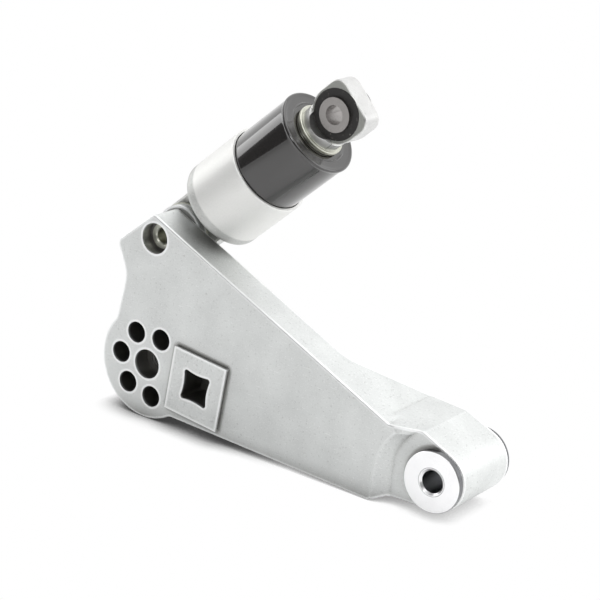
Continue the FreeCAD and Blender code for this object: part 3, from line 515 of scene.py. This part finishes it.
# The eye's casting: its two faces are sawn, and each is coloured darker in a thin band at its
# depth, between painted highlights on its edges. Its wall is only 0.3 mm at the flat end, so the
# painted edge highlight is kept narrower than that.
SAWN_ALUMINIUM = Metal(
    "sawn_aluminium", "D8D8D7", "CECECD", "F0F0EE", roughness=0.40, grain_mm=0.5,
    grain_depth_mm=0.07, mottle_mm=7.0, speck_mm=0.6, speck_share=0.5, scratch_share=0.3,
    pit_share=0.25, edge_highlight_share=0.95, edge_highlight_mm=0.28, corner_shade_share=0.5, dark="9C9D99",
    hollows=(
        Hollow(-82.4, 140.5, 20.0, 22.9, 23.3, 0.1),
        Hollow(-82.4, 140.5, 20.0, 34.2, 34.7, 0.1),
    ),
)
# Drawn steel tube, satin.
SLEEVE_STEEL = Metal(
    "sleeve_steel", "9A9795", "969391", "C8C8C7", roughness=0.26, grain_mm=0.3,
    grain_depth_mm=0.01, mottle_mm=5.0, surface=Surface.TURNED_ABOUT_Y,
)
# Bright zinc plate over steel, with a faint yellow-green cast.
ZINC_PLATE = Metal(
    "zinc_plate", "D0D0C5", "BFC0B4", "E8E8E0", roughness=0.36, grain_mm=0.4,
    grain_depth_mm=0.01, mottle_mm=4.0, speck_mm=1.0, speck_share=0.2,
)
# Ground steel inside the damper.
GROUND_STEEL = Metal(
    "ground_steel", "C4C6C8", "B8BABC", "E0E0E0", roughness=0.18, grain_mm=0.3,
    grain_depth_mm=0.01, mottle_mm=6.0, surface=Surface.DRAWN,
)
# Oiled spring wire, dark satin.
SPRING_STEEL = Metal(
    "spring_steel", "6A6C70", "55575B", "8A8C90", roughness=0.35, grain_mm=0.3,
    grain_depth_mm=0.02, mottle_mm=5.0,
)
# Sintered bronze, matt and slightly brown.
SINTERED_BRONZE = Metal(
    "sintered_bronze", "B08A58", "9C7748", "C9A878", roughness=0.48, grain_mm=0.25,
    grain_depth_mm=0.03, mottle_mm=3.0, speck_mm=0.6, speck_share=0.3,
)
# Moulded nylon, black and lacquered, so that it mirrors the studio softly.
BLACK_NYLON = Moulding(
    "black_nylon", "1D1A19", "171413", roughness=0.09, ior=1.6, grain_mm=9.0,
    grain_depth_mm=0.012, gloss_coat=1.0,
)
# Moulded rubber, near black and matt, with a little pale dust.
BLACK_RUBBER = Moulding(
    "black_rubber", "2A2928", "211F1E", roughness=0.55, ior=1.5, grain_mm=0.8,
    grain_depth_mm=0.05, dust_share=0.5,
)


def mesh_object(name: str, mesh: bpy.types.Mesh, finish: bpy.types.Material) -> bpy.types.Object:
    """Links a mesh as an object at the origin, with one material and crisp corners.

    Args:
        name: The piece's name.
        mesh: Its mesh, placed in the part's own frame.
        finish: Its material.

    Returns:
        The new object.
    """
    mesh.materials.clear()
    mesh.materials.append(finish)
    mesh.polygons.foreach_set("use_smooth", [True] * len(mesh.polygons))
    mesh.set_sharp_from_angle(angle=math.radians(CREASE_DEG))
    piece = bpy.data.objects.new(name, mesh)
    bpy.context.scene.collection.objects.link(piece)
    return piece


@dataclass(frozen=True)
class Axis:
    """A line that turned pieces are made about.

    Args:
        origin_mm: The point that stations are counted from.
        angle_deg: How far the line rises from +X towards +Z.
    """

    origin_mm: Point
    angle_deg: float

    def place(self, station_mm: float, radius_mm: float, turn: float) -> Vector:
        """A point at a station along the axis, a radius from it and a turn in radians round it."""
        tilt = math.radians(self.angle_deg)
        along = Vector((math.cos(tilt), 0.0, math.sin(tilt)))
        up = Vector((-math.sin(tilt), 0.0, math.cos(tilt)))
        side = up * math.cos(turn) + Vector((0.0, 1.0, 0.0)) * math.sin(turn)
        return (Vector(self.origin_mm) + along * station_mm + side * radius_mm) * MM


# The damper's own axis, from the lower pin towards the upper eye.
DAMPER_AXIS = Axis((-158.3, 28.8, 68.7), 43.4)


def arc(
    station: float, radius: float, bend: float, start_deg: float, end_deg: float
) -> list[tuple[float, float]]:
    """Profile points on an arc.

    Args:
        station: The arc's centre along the axis, in millimetres.
        radius: The arc's centre from the axis.
        bend: The arc's own radius.
        start_deg: Its first angle, from the axis towards the outside.
        end_deg: Its last angle.

    Returns:
        Pairs of station and radius.
    """
    step_deg = 12.0
    steps = max(4, round(abs(end_deg - start_deg) / step_deg))
    angles = [math.radians(start_deg + (end_deg - start_deg) * i / steps) for i in range(steps + 1)]
    return [(station + bend * math.cos(a), radius + bend * math.sin(a)) for a in angles]


def turned_mesh(
    name: str, axis: Axis, profile: list[tuple[float, float]], facets: int
) -> bpy.types.Mesh:
    """Turns a closed profile about an axis.

    Args:
        name: The mesh's name.
        axis: The line to turn about.
        profile: Pairs of station and radius in millimetres, round the closed section.
        facets: Number of faces round the axis.

    Returns:
        A closed mesh whose faces point outwards.
    """
    shape = bmesh.new()
    rings = []
    for index in range(facets):
        turn = 2.0 * math.pi * index / facets
        rings.append([shape.verts.new(axis.place(s, r, turn)) for s, r in profile])
    for index, ring in enumerate(rings):
        following = rings[(index + 1) % facets]
        for row in range(len(profile)):
            after = (row + 1) % len(profile)
            shape.faces.new((ring[row], ring[after], following[after], following[row]))
    bmesh.ops.recalc_face_normals(shape, faces=shape.faces)
    mesh = bpy.data.meshes.new(name)
    shape.to_mesh(mesh)
    shape.free()
    return mesh


def node_group(
    name: str, sizes: dict[str, float]
) -> tuple[Tree, dict[str, Socket], bpy.types.Node]:
    """A Geometry Nodes tree with named number inputs and a material input.

    Args:
        name: The tree's name.
        sizes: The default of each named input, with lengths in metres.

    Returns:
        The tree, its inputs by name and its output node.
    """
    tree = bpy.data.node_groups.new(name, "GeometryNodeTree")
    tree.interface.new_socket("Geometry", in_out="INPUT", socket_type="NodeSocketGeometry")
    for label, value in sizes.items():
        socket = tree.interface.new_socket(label, in_out="INPUT", socket_type="NodeSocketFloat")
        socket.default_value = value
    tree.interface.new_socket("Finish", in_out="INPUT", socket_type="NodeSocketMaterial")
    tree.interface.new_socket("Geometry", in_out="OUTPUT", socket_type="NodeSocketGeometry")
    given = {socket.name: socket for socket in add_node(tree, "NodeGroupInput").outputs}
    return tree, given, add_node(tree, "NodeGroupOutput")


def finish_group(
    tree: Tree, made: Socket, given: dict[str, Socket], output: bpy.types.Node
) -> None:
    """Ends a tree in Realize Instances and Set Material.

    Args:
        tree: The Geometry Nodes tree.
        made: The geometry so far.
        given: The tree's inputs by name.
        output: Its output node.
    """
    real = add_node(tree, "GeometryNodeRealizeInstances", None, {"Geometry": made}).outputs[0]
    inputs = {"Geometry": real, "Material": given["Finish"]}
    coated = add_node(tree, "GeometryNodeSetMaterial", None, inputs)
    tree.links.new(coated.outputs[0], output.inputs[0])


def swept_helix(
    tree: Tree,
    radius: Socket,
    turns: Socket,
    height: Socket,
    section: Socket,
    steps: int,
    sides: int,
) -> Socket:
    """A wire along a helix that rises along Z, with closed ends.

    Args:
        tree: The Geometry Nodes tree.
        radius: The helix's radius.
        turns: Its number of turns.
        height: Its height.
        section: The wire's radius.
        steps: Points along each turn.
        sides: Faces round the wire.

    Returns:
        The wire's mesh.
    """
    inputs = {
        "Resolution": steps, "Rotations": turns, "Height": height,
        "Start Radius": radius, "End Radius": radius,
    }
    helix = add_node(tree, "GeometryNodeCurveSpiral", None, inputs).outputs[0]
    inputs = {"Resolution": sides, "Radius": section}
    circle = add_node(tree, "GeometryNodeCurvePrimitiveCircle", None, inputs).outputs[0]
    inputs = {"Curve": helix, "Profile Curve": circle, "Fill Caps": True}
    return add_node(tree, "GeometryNodeCurveToMesh", None, inputs).outputs[0]


def grown_mesh(
    name: str, tree: Tree, seed: bpy.types.Mesh, values: dict[str, Any]
) -> bpy.types.Mesh:
    """Runs a Geometry Nodes tree on a seed mesh and returns the plain result.

    Args:
        name: The new mesh's name.
        tree: The Geometry Nodes tree.
        seed: The mesh that the tree starts from.
        values: The value of each named input.

    Returns:
        The result as a mesh of its own.
    """
    holder = bpy.data.objects.new(name + "_seed", seed)
    bpy.context.scene.collection.objects.link(holder)
    modifier = holder.modifiers.new("grow", "NODES")
    modifier.node_group = tree
    for item in tree.interface.items_tree:
        if item.in_out == "INPUT" and item.name in values:
            modifier[item.identifier] = values[item.name]
    graph = bpy.context.evaluated_depsgraph_get()
    mesh = bpy.data.meshes.new_from_object(holder.evaluated_get(graph), depsgraph=graph)
    mesh.name = name
    holder.modifiers.remove(modifier)
    bpy.data.objects.remove(holder)
    return mesh


@dataclass
class SubAssembly:
    """A group of the part's pieces that share a body, with the finish of each.

    Args:
        body: The moving body that they ride on.
        finishes: The finish of each of the part's own nodes.
    """

    body: str
    finishes: dict[str, Metal | Moulding]

    def dress(self, made: dict[str, bpy.types.Material]) -> None:
        """Gives each piece its material.

        Args:
            made: The materials built so far, by name. New ones are added.
        """
        for node, finish in self.finishes.items():
            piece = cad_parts[node]
            piece.data.materials.clear()
            piece.data.materials.append(self.coat(finish, made))
            log.info("%s: %s on %s", node, finish.name, self.body)

    def coat(
        self, finish: Metal | Moulding, made: dict[str, bpy.types.Material]
    ) -> bpy.types.Material:
        """The material of a finish, built on its first use."""
        if finish.name not in made:
            made[finish.name] = finish.material()
        return made[finish.name]

    def add(self, piece: bpy.types.Object, slot: str, *stands_for: str) -> None:
        """Fixes a new piece to the body.

        Args:
            piece: The piece.
            slot: The record's material slot. It is not used.
            stands_for: The solids that it replaces.
        """
        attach(piece, self.body)
        if stands_for:
            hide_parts(*stands_for)
        log.info("%s: made here, on %s", piece.name, self.body)


@dataclass
class Lever(SubAssembly):
    """The cast lever with its bushes, seals and damper pin."""

    body: str = "lever"
    finishes: dict[str, Metal | Moulding] = field(
        default_factory=lambda: {
            "lever_arm": CAST_ALUMINIUM,
            "pivot_bush_front": SINTERED_BRONZE,
            "pivot_bush_rear": SINTERED_BRONZE,
            "dust_seal_front": BLACK_RUBBER,
            "dust_seal_rear": BLACK_RUBBER,
            "damper_pin": ZINC_PLATE,
            "thrust_washer": ZINC_PLATE,
            "rear_washer": ZINC_PLATE,
            "retaining_ring": ZINC_PLATE,
        }
    )
    thread_core_mm: float = 4.25
    thread_pitch_mm: float = 1.5
    thread_depth_mm: float = 0.42
    thread_start_mm: float = 9.4
    thread_end_mm: float = 20.6
    hub_mm: tuple[float, float] = (-157.2, 7.6)
    rear_face_mm: float = 17.8
    ejector_radius_mm: float = 2.6
    ejector_length_mm: float = 6.0
    ejector_stand_mm: float = 0.2
    ejector_marks_mm: tuple[tuple[float, float], ...] = (
        (-134.0, 44.0), (-112.0, 32.0), (-90.0, 20.0),
        (-76.0, -8.0), (-104.0, -4.0), (-150.0, 40.0),
    )

    def build(self, made: dict[str, bpy.types.Material]) -> None:
        """Dresses the castings and adds the pulley thread and the ejector marks."""
        self.dress(made)
        finish = self.coat(CAST_ALUMINIUM, made)
        thread = mesh_object("pulley_thread_turns", self.thread_mesh(finish), finish)
        self.add(thread, "cast_aluminium")
        marks = mesh_object("ejector_marks", self.ejector_mesh(finish), finish)
        self.add(marks, "cast_aluminium")

    def thread_mesh(self, finish: bpy.types.Material) -> bpy.types.Mesh:
        """The ridge of the pulley bolt's thread: a helix with a three-cornered section."""
        sizes = {
            "Core": self.thread_core_mm * MM,
            "Pitch": self.thread_pitch_mm * MM,
            "Length": (self.thread_end_mm - self.thread_start_mm) * MM,
            "Depth": self.thread_depth_mm * MM,
        }
        tree, given, output = node_group("thread_turns", sizes)
        lengths = {0: given["Length"], 1: given["Pitch"]}
        turns = add_node(tree, MATH, {"operation": "DIVIDE"}, lengths).outputs[0]
        ridge = swept_helix(
            tree, given["Core"], turns, given["Length"], given["Depth"], steps=48, sides=3
        )
        start = (self.hub_mm[0] * MM, self.thread_start_mm * MM, self.hub_mm[1] * MM)
        inputs = {"Geometry": ridge, "Rotation": (-math.pi / 2, 0.0, 0.0), "Translation": start}
        laid = add_node(tree, "GeometryNodeTransform", None, inputs).outputs[0]
        finish_group(tree, laid, given, output)
        seed = bpy.data.meshes.new("thread_seed")
        return grown_mesh("pulley_thread_turns", tree, seed, {**sizes, "Finish": finish})

    def ejector_mesh(self, finish: bpy.types.Material) -> bpy.types.Mesh:
        """The round marks that the die's ejector pins leave on the rear face."""
        seed = bpy.data.meshes.new("ejector_seed")
        middle = self.rear_face_mm + self.ejector_stand_mm - self.ejector_length_mm / 2
        points = [(x * MM, middle * MM, z * MM) for x, z in self.ejector_marks_mm]
        seed.from_pydata(points, [], [])
        sizes = {"Radius": self.ejector_radius_mm * MM, "Length": self.ejector_length_mm * MM}
        tree, given, output = node_group("ejector_marks", sizes)
        inputs = {"Vertices": 48, "Radius": given["Radius"], "Depth": given["Length"]}
        pin = add_node(tree, "GeometryNodeMeshCylinder", None, inputs).outputs["Mesh"]
        inputs = {"Geometry": pin, "Rotation": (math.pi / 2, 0.0, 0.0)}
        along_y = add_node(tree, "GeometryNodeTransform", None, inputs).outputs[0]
        inputs = {"Points": given["Geometry"], "Instance": along_y}
        placed = add_node(tree, "GeometryNodeInstanceOnPoints", None, inputs).outputs[0]
        finish_group(tree, placed, given, output)
        return grown_mesh("ejector_marks", tree, seed, {**sizes, "Finish": finish})


@dataclass
class PivotBushing(SubAssembly):
    """The sleeve and end flanges that bolt to the engine."""

    body: str = "pivot"
    finishes: dict[str, Metal | Moulding] = field(
        default_factory=lambda: {
            "pivot_sleeve": BORE_SHADE_STEEL,
            "pivot_flange_front": POLISHED_STEEL,
            "pivot_flange_rear": POLISHED_STEEL,
        }
    )


@dataclass
class DamperCylinder(SubAssembly):
    """The damper's cup with the pressure tube, valve and spring in it."""

    body: str = "cylinder"
    finishes: dict[str, Metal | Moulding] = field(
        default_factory=lambda: {
            "damper_housing": DAMPER_ALUMINIUM,
            "lug_bush": SINTERED_BRONZE,
            "pressure_tube": GROUND_STEEL,
            "valve_seat": GROUND_STEEL,
            "valve_ball": GROUND_STEEL,
            "valve_cage": GROUND_STEEL,
            "rod_guide": DAMPER_ALUMINIUM,
            "rod_seal": BLACK_RUBBER,
            "main_spring": SPRING_STEEL,
        }
    )
    axis: Axis = DAMPER_AXIS
    spring_start_mm: float = 26.5
    spring_end_mm: float = 84.4
    spring_radius_mm: float = 14.75
    spring_wire_mm: float = 4.0
    spring_turns: float = 7.0
    stroke_mm: float = 9.0

    def build(self, made: dict[str, bpy.types.Material]) -> None:
        """Dresses the cylinder and winds the spring anew."""
        self.dress(made)
        finish = self.coat(SPRING_STEEL, made)
        spring = mesh_object("main_spring_wound", self.spring_mesh(finish), finish)
        self.add(spring, "spring_steel", "main_spring")
        foot = self.axis.place(self.spring_start_mm, 0.0, 0.0)
        head = self.axis.place(self.spring_end_mm, 0.0, 0.0)
        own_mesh(spring)

    def spring_mesh(self, finish: bpy.types.Material) -> bpy.types.Mesh:
        """The coil spring: round wire along a helix."""
        wire_radius = self.spring_wire_mm / 2
        sizes = {
            "Radius": self.spring_radius_mm * MM,
            "Wire": wire_radius * MM,
            "Turns": self.spring_turns,
            "Length": (self.spring_end_mm - self.spring_start_mm - self.spring_wire_mm) * MM,
        }
        tree, given, output = node_group("coil_spring", sizes)
        radius, turns = given["Radius"], given["Turns"]
        wire = swept_helix(
            tree, radius, turns, given["Length"], given["Wire"], steps=40, sides=16
        )
        foot = self.axis.place(self.spring_start_mm + wire_radius, 0.0, 0.0)
        tilt = (0.0, math.radians(90.0 - self.axis.angle_deg), 0.0)
        inputs = {"Geometry": wire, "Rotation": tilt, "Translation": tuple(foot)}
        laid = add_node(tree, "GeometryNodeTransform", None, inputs).outputs[0]
        finish_group(tree, laid, given, output)
        seed = bpy.data.meshes.new("spring_seed")
        return grown_mesh("main_spring_wound", tree, seed, {**sizes, "Finish": finish})


@dataclass
class DamperRod(SubAssembly):
    """The damper's rod with its dust cover, upper eye and bush.

    Corner cuts, such as nut_foot_mm, are along the axis and inwards. ring_mm holds the low ring's
    radii, and nut_groove_mm half the groove's width at the rim and floor, and its depth.
    """

    body: str = "rod"
    finishes: dict[str, Metal | Moulding] = field(
        default_factory=lambda: {
            "piston_rod": GROUND_STEEL,
            "piston": GROUND_STEEL,
            "dust_cover": BLACK_NYLON,
            "spring_seat": ZINC_PLATE,
            "eye_washer": ZINC_PLATE,
            "lock_nut": ZINC_PLATE,
            "upper_eye": SAWN_ALUMINIUM,
            "eye_rubber": BLACK_RUBBER,
            "eye_sleeve": SLEEVE_STEEL,
        }
    )
    axis: Axis = DAMPER_AXIS
    rod_mm: float = 4.5
    cover_facets: int = 192
    ring_facets: int = 160
    cover_start_mm: float = 36.0
    cover_top_mm: float = 87.8
    cover_radius_mm: float = 20.0
    cover_wall_mm: float = 1.0
    cover_lip_mm: float = 0.25
    cover_corner_mm: float = 0.8
    bead_mm: float = 1.05
    bead_rise_mm: float = 0.3
    bead_stand_mm: float = 0.45
    bead_arc_deg: tuple[float, float] = (150.0, 0.0)
    bead_foot_mm: tuple[float, float] = (0.02, 0.3)
    neck_start_mm: float = 0.75
    neck_end_mm: float = 0.35
    neck_depth_mm: float = 0.1
    ring_mm: tuple[float, float, float, float] = (15.2, 15.0, 14.5, 14.3)
    ring_rise_mm: float = 0.15
    washer_radius_mm: float = 11.9
    washer_end_mm: float = 88.7
    washer_edge_mm: float = 0.2
    nut_radius_mm: float = 12.5
    nut_end_mm: float = 90.25
    nut_foot_mm: tuple[float, float] = (0.2, 0.3)
    nut_head_mm: tuple[float, float] = (0.25, 0.35)
    nut_groove_mm: tuple[float, float, float] = (0.2, 0.05, 0.35)

    def build(self, made: dict[str, bpy.types.Material]) -> None:
        """Dresses the rod's pieces and turns the cover, washer and lock nut anew."""
        self.dress(made)
        cover, washer, nut = self.cover_profile(), self.washer_profile(), self.nut_profile()
        zinc, wide, narrow = "zinc_plated_steel", self.cover_facets, self.ring_facets
        for name, profile, facets, finish, slot, solid in (
            ("dust_cover_shell", cover, wide, BLACK_NYLON, "black_nylon", "dust_cover"),
            ("eye_washer_turned", washer, narrow, ZINC_PLATE, zinc, "eye_washer"),
            ("lock_nut_turned", nut, narrow, ZINC_PLATE, zinc, "lock_nut"),
        ):
            mesh = turned_mesh(name, self.axis, profile, facets)
            self.add(mesh_object(name, mesh, self.coat(finish, made)), slot, solid)

    def cover_profile(self) -> list[tuple[float, float]]:
        """The cover's section: wall, neck, rolled bead and an end wall with a low ring."""
        start, top = self.cover_start_mm, self.cover_top_mm
        radius, wall, bead = self.cover_radius_mm, self.cover_wall_mm, self.bead_mm
        middle = (top + self.bead_rise_mm - bead, radius + self.bead_stand_mm - bead)
        neck = middle[0] - bead
        foot = middle[1] - bead
        ring_top = top + self.ring_rise_mm
        return [
            (start, radius - wall), (start, radius - self.cover_lip_mm),
            (start + self.cover_lip_mm, radius),
            (neck - self.neck_start_mm, radius),
            (neck - self.neck_end_mm, radius - self.neck_depth_mm),
            *arc(*middle, bead, *self.bead_arc_deg),
            (top + self.bead_foot_mm[0], foot), (top, foot - self.bead_foot_mm[1]),
            (top, self.ring_mm[0]),
            (ring_top, self.ring_mm[1]), (ring_top, self.ring_mm[2]),
            (top, self.ring_mm[3]),
            (top, self.rod_mm), (top - wall, self.rod_mm),
            (top - wall, radius - wall - self.cover_corner_mm),
            (top - wall - self.cover_corner_mm, radius - wall),
        ]

    def washer_profile(self) -> list[tuple[float, float]]:
        """The plain washer under the lock nut."""
        start, end, radius = self.cover_top_mm, self.washer_end_mm, self.washer_radius_mm
        edge = self.washer_edge_mm
        return [
            (start, self.rod_mm), (start, radius - edge), (start + edge, radius),
            (end - edge, radius), (end, radius - edge), (end, self.rod_mm),
        ]

    def nut_profile(self) -> list[tuple[float, float]]:
        """The round lock nut with its groove and rounded rims."""
        start, end, radius = self.washer_end_mm, self.nut_end_mm, self.nut_radius_mm
        middle = (start + end) / 2
        half, floor_half, depth = self.nut_groove_mm
        return [
            (start, self.rod_mm), (start, radius - self.nut_foot_mm[1]),
            (start + self.nut_foot_mm[0], radius), (middle - half, radius),
            (middle - floor_half, radius - depth), (middle + floor_half, radius - depth),
            (middle + half, radius), (end - self.nut_head_mm[0], radius),
            (end, radius - self.nut_head_mm[1]), (end, self.rod_mm),
        ]


@dataclass(frozen=True)
class SoftBox:
    """A square soft lamp.

    Args:
        name: The lamp's name.
        place_mm: Where it stands.
        side_mm: The length of its side.
        watts: Its power.
        aim_mm: The point that it faces.
    """

    name: str
    place_mm: Point
    side_mm: float
    watts: float
    aim_mm: Point = (-90.0, 20.0, 60.0)

    def build(self) -> None:
        """Adds the lamp to the scene."""
        data = bpy.data.lights.new(self.name, "AREA")
        data.size = self.side_mm * MM
        data.energy = self.watts
        lamp = bpy.data.objects.new(self.name, data)
        bpy.context.scene.collection.objects.link(lamp)
        place, aim = Vector(self.place_mm) * MM, Vector(self.aim_mm) * MM
        lamp.location = place
        lamp.rotation_mode = "QUATERNION"
        lamp.rotation_quaternion = (aim - place).to_track_quat("-Z", "Y")


@dataclass
class Studio:
    """A white floor, a softly lit surround, four soft boxes and the camera.

    The floor's whites are its colour to plain light, and to mirroring metal on the right and on the
    left, where the mirrored floor is darker as painted shade near the object. The surround's levels
    are its brightness in front of the object, high in front and behind, and they blend over the
    ranges of Y and Z that front_to_back and low_to_high give.
    """

    floor_z_mm: float = -18.85
    floor_half_mm: float = 4000.0
    floor_white: float = 0.88
    floor_mirrored: float = 0.98
    floor_mirrored_left_shade: float = 0.89
    mirrored_mm: tuple[float, float] = (-120.0, -30.0)
    contact_mm: float = 12.0
    contact_open: tuple[float, float] = (0.32, 0.94)
    contact_darkest: float = 0.05
    lit_mm: tuple[float, float] = (-115.0, -75.0)
    lit_share: float = 0.45
    front_level: float = 0.15
    front_high_level: float = 0.3
    back_level: float = 1.15
    front_to_back: tuple[float, float] = (-0.6, 0.2)
    low_to_high: tuple[float, float] = (0.2, 0.5)
    lamps: tuple[SoftBox, ...] = (
        SoftBox("top_softbox", (150.0, 50.0, 950.0), 1200.0, 4.0, aim_mm=(-90.0, 20.0, 40.0)),
        SoftBox("key_softbox", (230.0, -850.0, 760.0), 260.0, 1.6),
        SoftBox("left_softbox", (-1000.0, -150.0, 380.0), 450.0, 1.2),
        SoftBox("right_softbox", (700.0, 500.0, 450.0), 600.0, 1.4),
    )
    camera_mm: Point = (396.75, -724.4, 356.8)
    camera_right: Point = (0.8148, 0.5715, 0.0972)
    camera_forward: Point = (-0.5174, 0.7925, -0.3228)
    lens_mm: float = 125.51
    sensor_mm: float = 36.0
    clip_m: tuple[float, float] = (0.05, 20.0)

    def build(self) -> None:
        """Makes the floor, the surround, the lamps and the camera."""
        self.build_floor()
        self.build_surround()
        for lamp in self.lamps:
            lamp.build()
        self.build_camera()

    def build_floor(self) -> None:
        """The floor, which is seen from above and clear from below."""
        half, z = self.floor_half_mm * MM, self.floor_z_mm * MM
        mesh = bpy.data.meshes.new("floor")
        corners = [(-half, -half, z), (half, -half, z), (half, half, z), (-half, half, z)]
        mesh.from_pydata(corners, [], [(0, 1, 2, 3)])
        floor = bpy.data.objects.new("floor", mesh)
        bpy.context.scene.collection.objects.link(floor)
        material, tree, output = new_material("white_floor")
        place = add_node(tree, "ShaderNodeTexCoord").outputs["Object"]
        across = add_node(tree, "ShaderNodeSeparateXYZ", None, {0: place}).outputs["X"]
        clear = add_node(tree, "ShaderNodeBsdfTransparent").outputs["BSDF"]
        side = add_node(tree, "ShaderNodeNewGeometry").outputs["Backfacing"]
        seen = self.floor_seen(tree, across)
        mix = add_node(tree, "ShaderNodeMixShader", None, {0: side, 1: seen, 2: clear})
        tree.links.new(mix.outputs["Shader"], output.inputs["Surface"])
        mesh.materials.append(material)

    def floor_seen(self, tree: Tree, across: Socket) -> Socket:
        """The floor from above: a veil to the camera, and matt white to everything else.

        The veil hides no lever that is turned below it. It is a painted contact shadow: dark only
        where the object stands close, and less so on the right.

        Args:
            tree: The floor's node tree.
            across: The place along X, in metres.

        Returns:
            The shader.
        """
        reach = {"Distance": self.contact_mm * MM}
        near = add_node(tree, "ShaderNodeAmbientOcclusion", {"samples": 8}, reach).outputs["AO"]
        levels = {
            "Value": across, "From Min": self.lit_mm[0] * MM, "From Max": self.lit_mm[1] * MM,
            "To Min": 0.0, "To Max": self.lit_share,
        }
        lit = add_node(tree, MAP_RANGE, None, levels).outputs["Result"]
        open_share = add_node(tree, MATH, {"operation": "ADD"}, {0: near, 1: lit}).outputs[0]
        levels = {
            "Value": open_share, "From Min": self.contact_open[0], "From Max": self.contact_open[1],
            "To Min": self.contact_darkest, "To Max": 1.0,
        }
        shadow = add_node(tree, MAP_RANGE, None, levels).outputs["Result"]
        veil = add_node(tree, "ShaderNodeBsdfTransparent", None, {"Color": shadow})
        # Painted shade: to mirroring metal, the floor is darker on the left, near the object.
        left, right = self.mirrored_mm
        levels = {
            "Value": across, "From Min": left * MM, "From Max": right * MM,
            "To Min": self.floor_mirrored_left_shade, "To Max": self.floor_mirrored,
        }
        mirrored = add_node(tree, MAP_RANGE, None, levels).outputs["Result"]
        rays = add_node(tree, "ShaderNodeLightPath")
        whites = {0: rays.outputs["Is Glossy Ray"], 2: self.floor_white, 3: mirrored}
        white = add_node(tree, MIX, None, whites).outputs[0]
        matt = add_node(tree, "ShaderNodeBsdfDiffuse", None, {"Color": white})
        shaders = {0: rays.outputs["Is Camera Ray"], 1: matt.outputs[0], 2: veil.outputs[0]}
        return add_node(tree, "ShaderNodeMixShader", None, shaders).outputs["Shader"]

    def build_surround(self) -> None:
        """The surround: white to the camera, dimmer in front of the object than behind it."""
        world = bpy.data.worlds.new("studio")
        bpy.context.scene.world = world
        world.use_nodes = True
        tree = world.node_tree
        tree.nodes.clear()
        output = tree.nodes.new("ShaderNodeOutputWorld")
        place = add_node(tree, "ShaderNodeTexCoord").outputs["Generated"]
        parts = add_node(tree, "ShaderNodeSeparateXYZ", None, {0: place})
        near, far = self.front_to_back
        levels = {
            "Value": parts.outputs["Y"], "From Min": near, "From Max": far,
            "To Min": self.front_level, "To Max": self.back_level,
        }
        behind = add_node(tree, MAP_RANGE, SMOOTH, levels).outputs[0]
        low, high = self.low_to_high
        levels = {
            "Value": parts.outputs["Z"], "From Min": low, "From Max": high,
            "To Min": 0.0, "To Max": self.front_high_level,
        }
        above = add_node(tree, MAP_RANGE, SMOOTH, levels).outputs[0]
        level = add_node(tree, MATH, {"operation": "MAXIMUM"}, {0: behind, 1: above}).outputs[0]
        camera = add_node(tree, "ShaderNodeLightPath").outputs["Is Camera Ray"]
        strength = add_node(tree, MIX, None, {0: camera, 2: level, 3: 1.0}).outputs[0]
        light = {"Color": linear("FFFFFF"), "Strength": strength}
        background = add_node(tree, "ShaderNodeBackground", None, light)
        tree.links.new(background.outputs["Background"], output.inputs["Surface"])

    def build_camera(self) -> None:
        """The camera, at the photograph's place and angle."""
        data = bpy.data.cameras.new("camera")
        data.lens = self.lens_mm
        data.sensor_width = self.sensor_mm
        data.clip_start, data.clip_end = self.clip_m
        camera = bpy.data.objects.new("camera", data)
        bpy.context.scene.collection.objects.link(camera)
        forward = Vector(self.camera_forward).normalized()
        right = Vector(self.camera_right)
        right = (right - forward * right.dot(forward)).normalized()
        turn = Matrix((right, right.cross(forward), -forward)).transposed()
        camera.matrix_world = Matrix.Translation(Vector(self.camera_mm) * MM) @ turn.to_4x4()
        bpy.context.scene.camera = camera


def main() -> None:
    """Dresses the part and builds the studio."""
    logging.basicConfig(level=logging.INFO, format="%(message)s")
    bpy.context.scene.view_settings.view_transform = "Standard"
    made: dict[str, bpy.types.Material] = {}
    Lever().build(made)
    PivotBushing().dress(made)
    DamperCylinder().build(made)
    DamperRod().build(made)
    Studio().build()


if __name__ == "__main__":
    main()
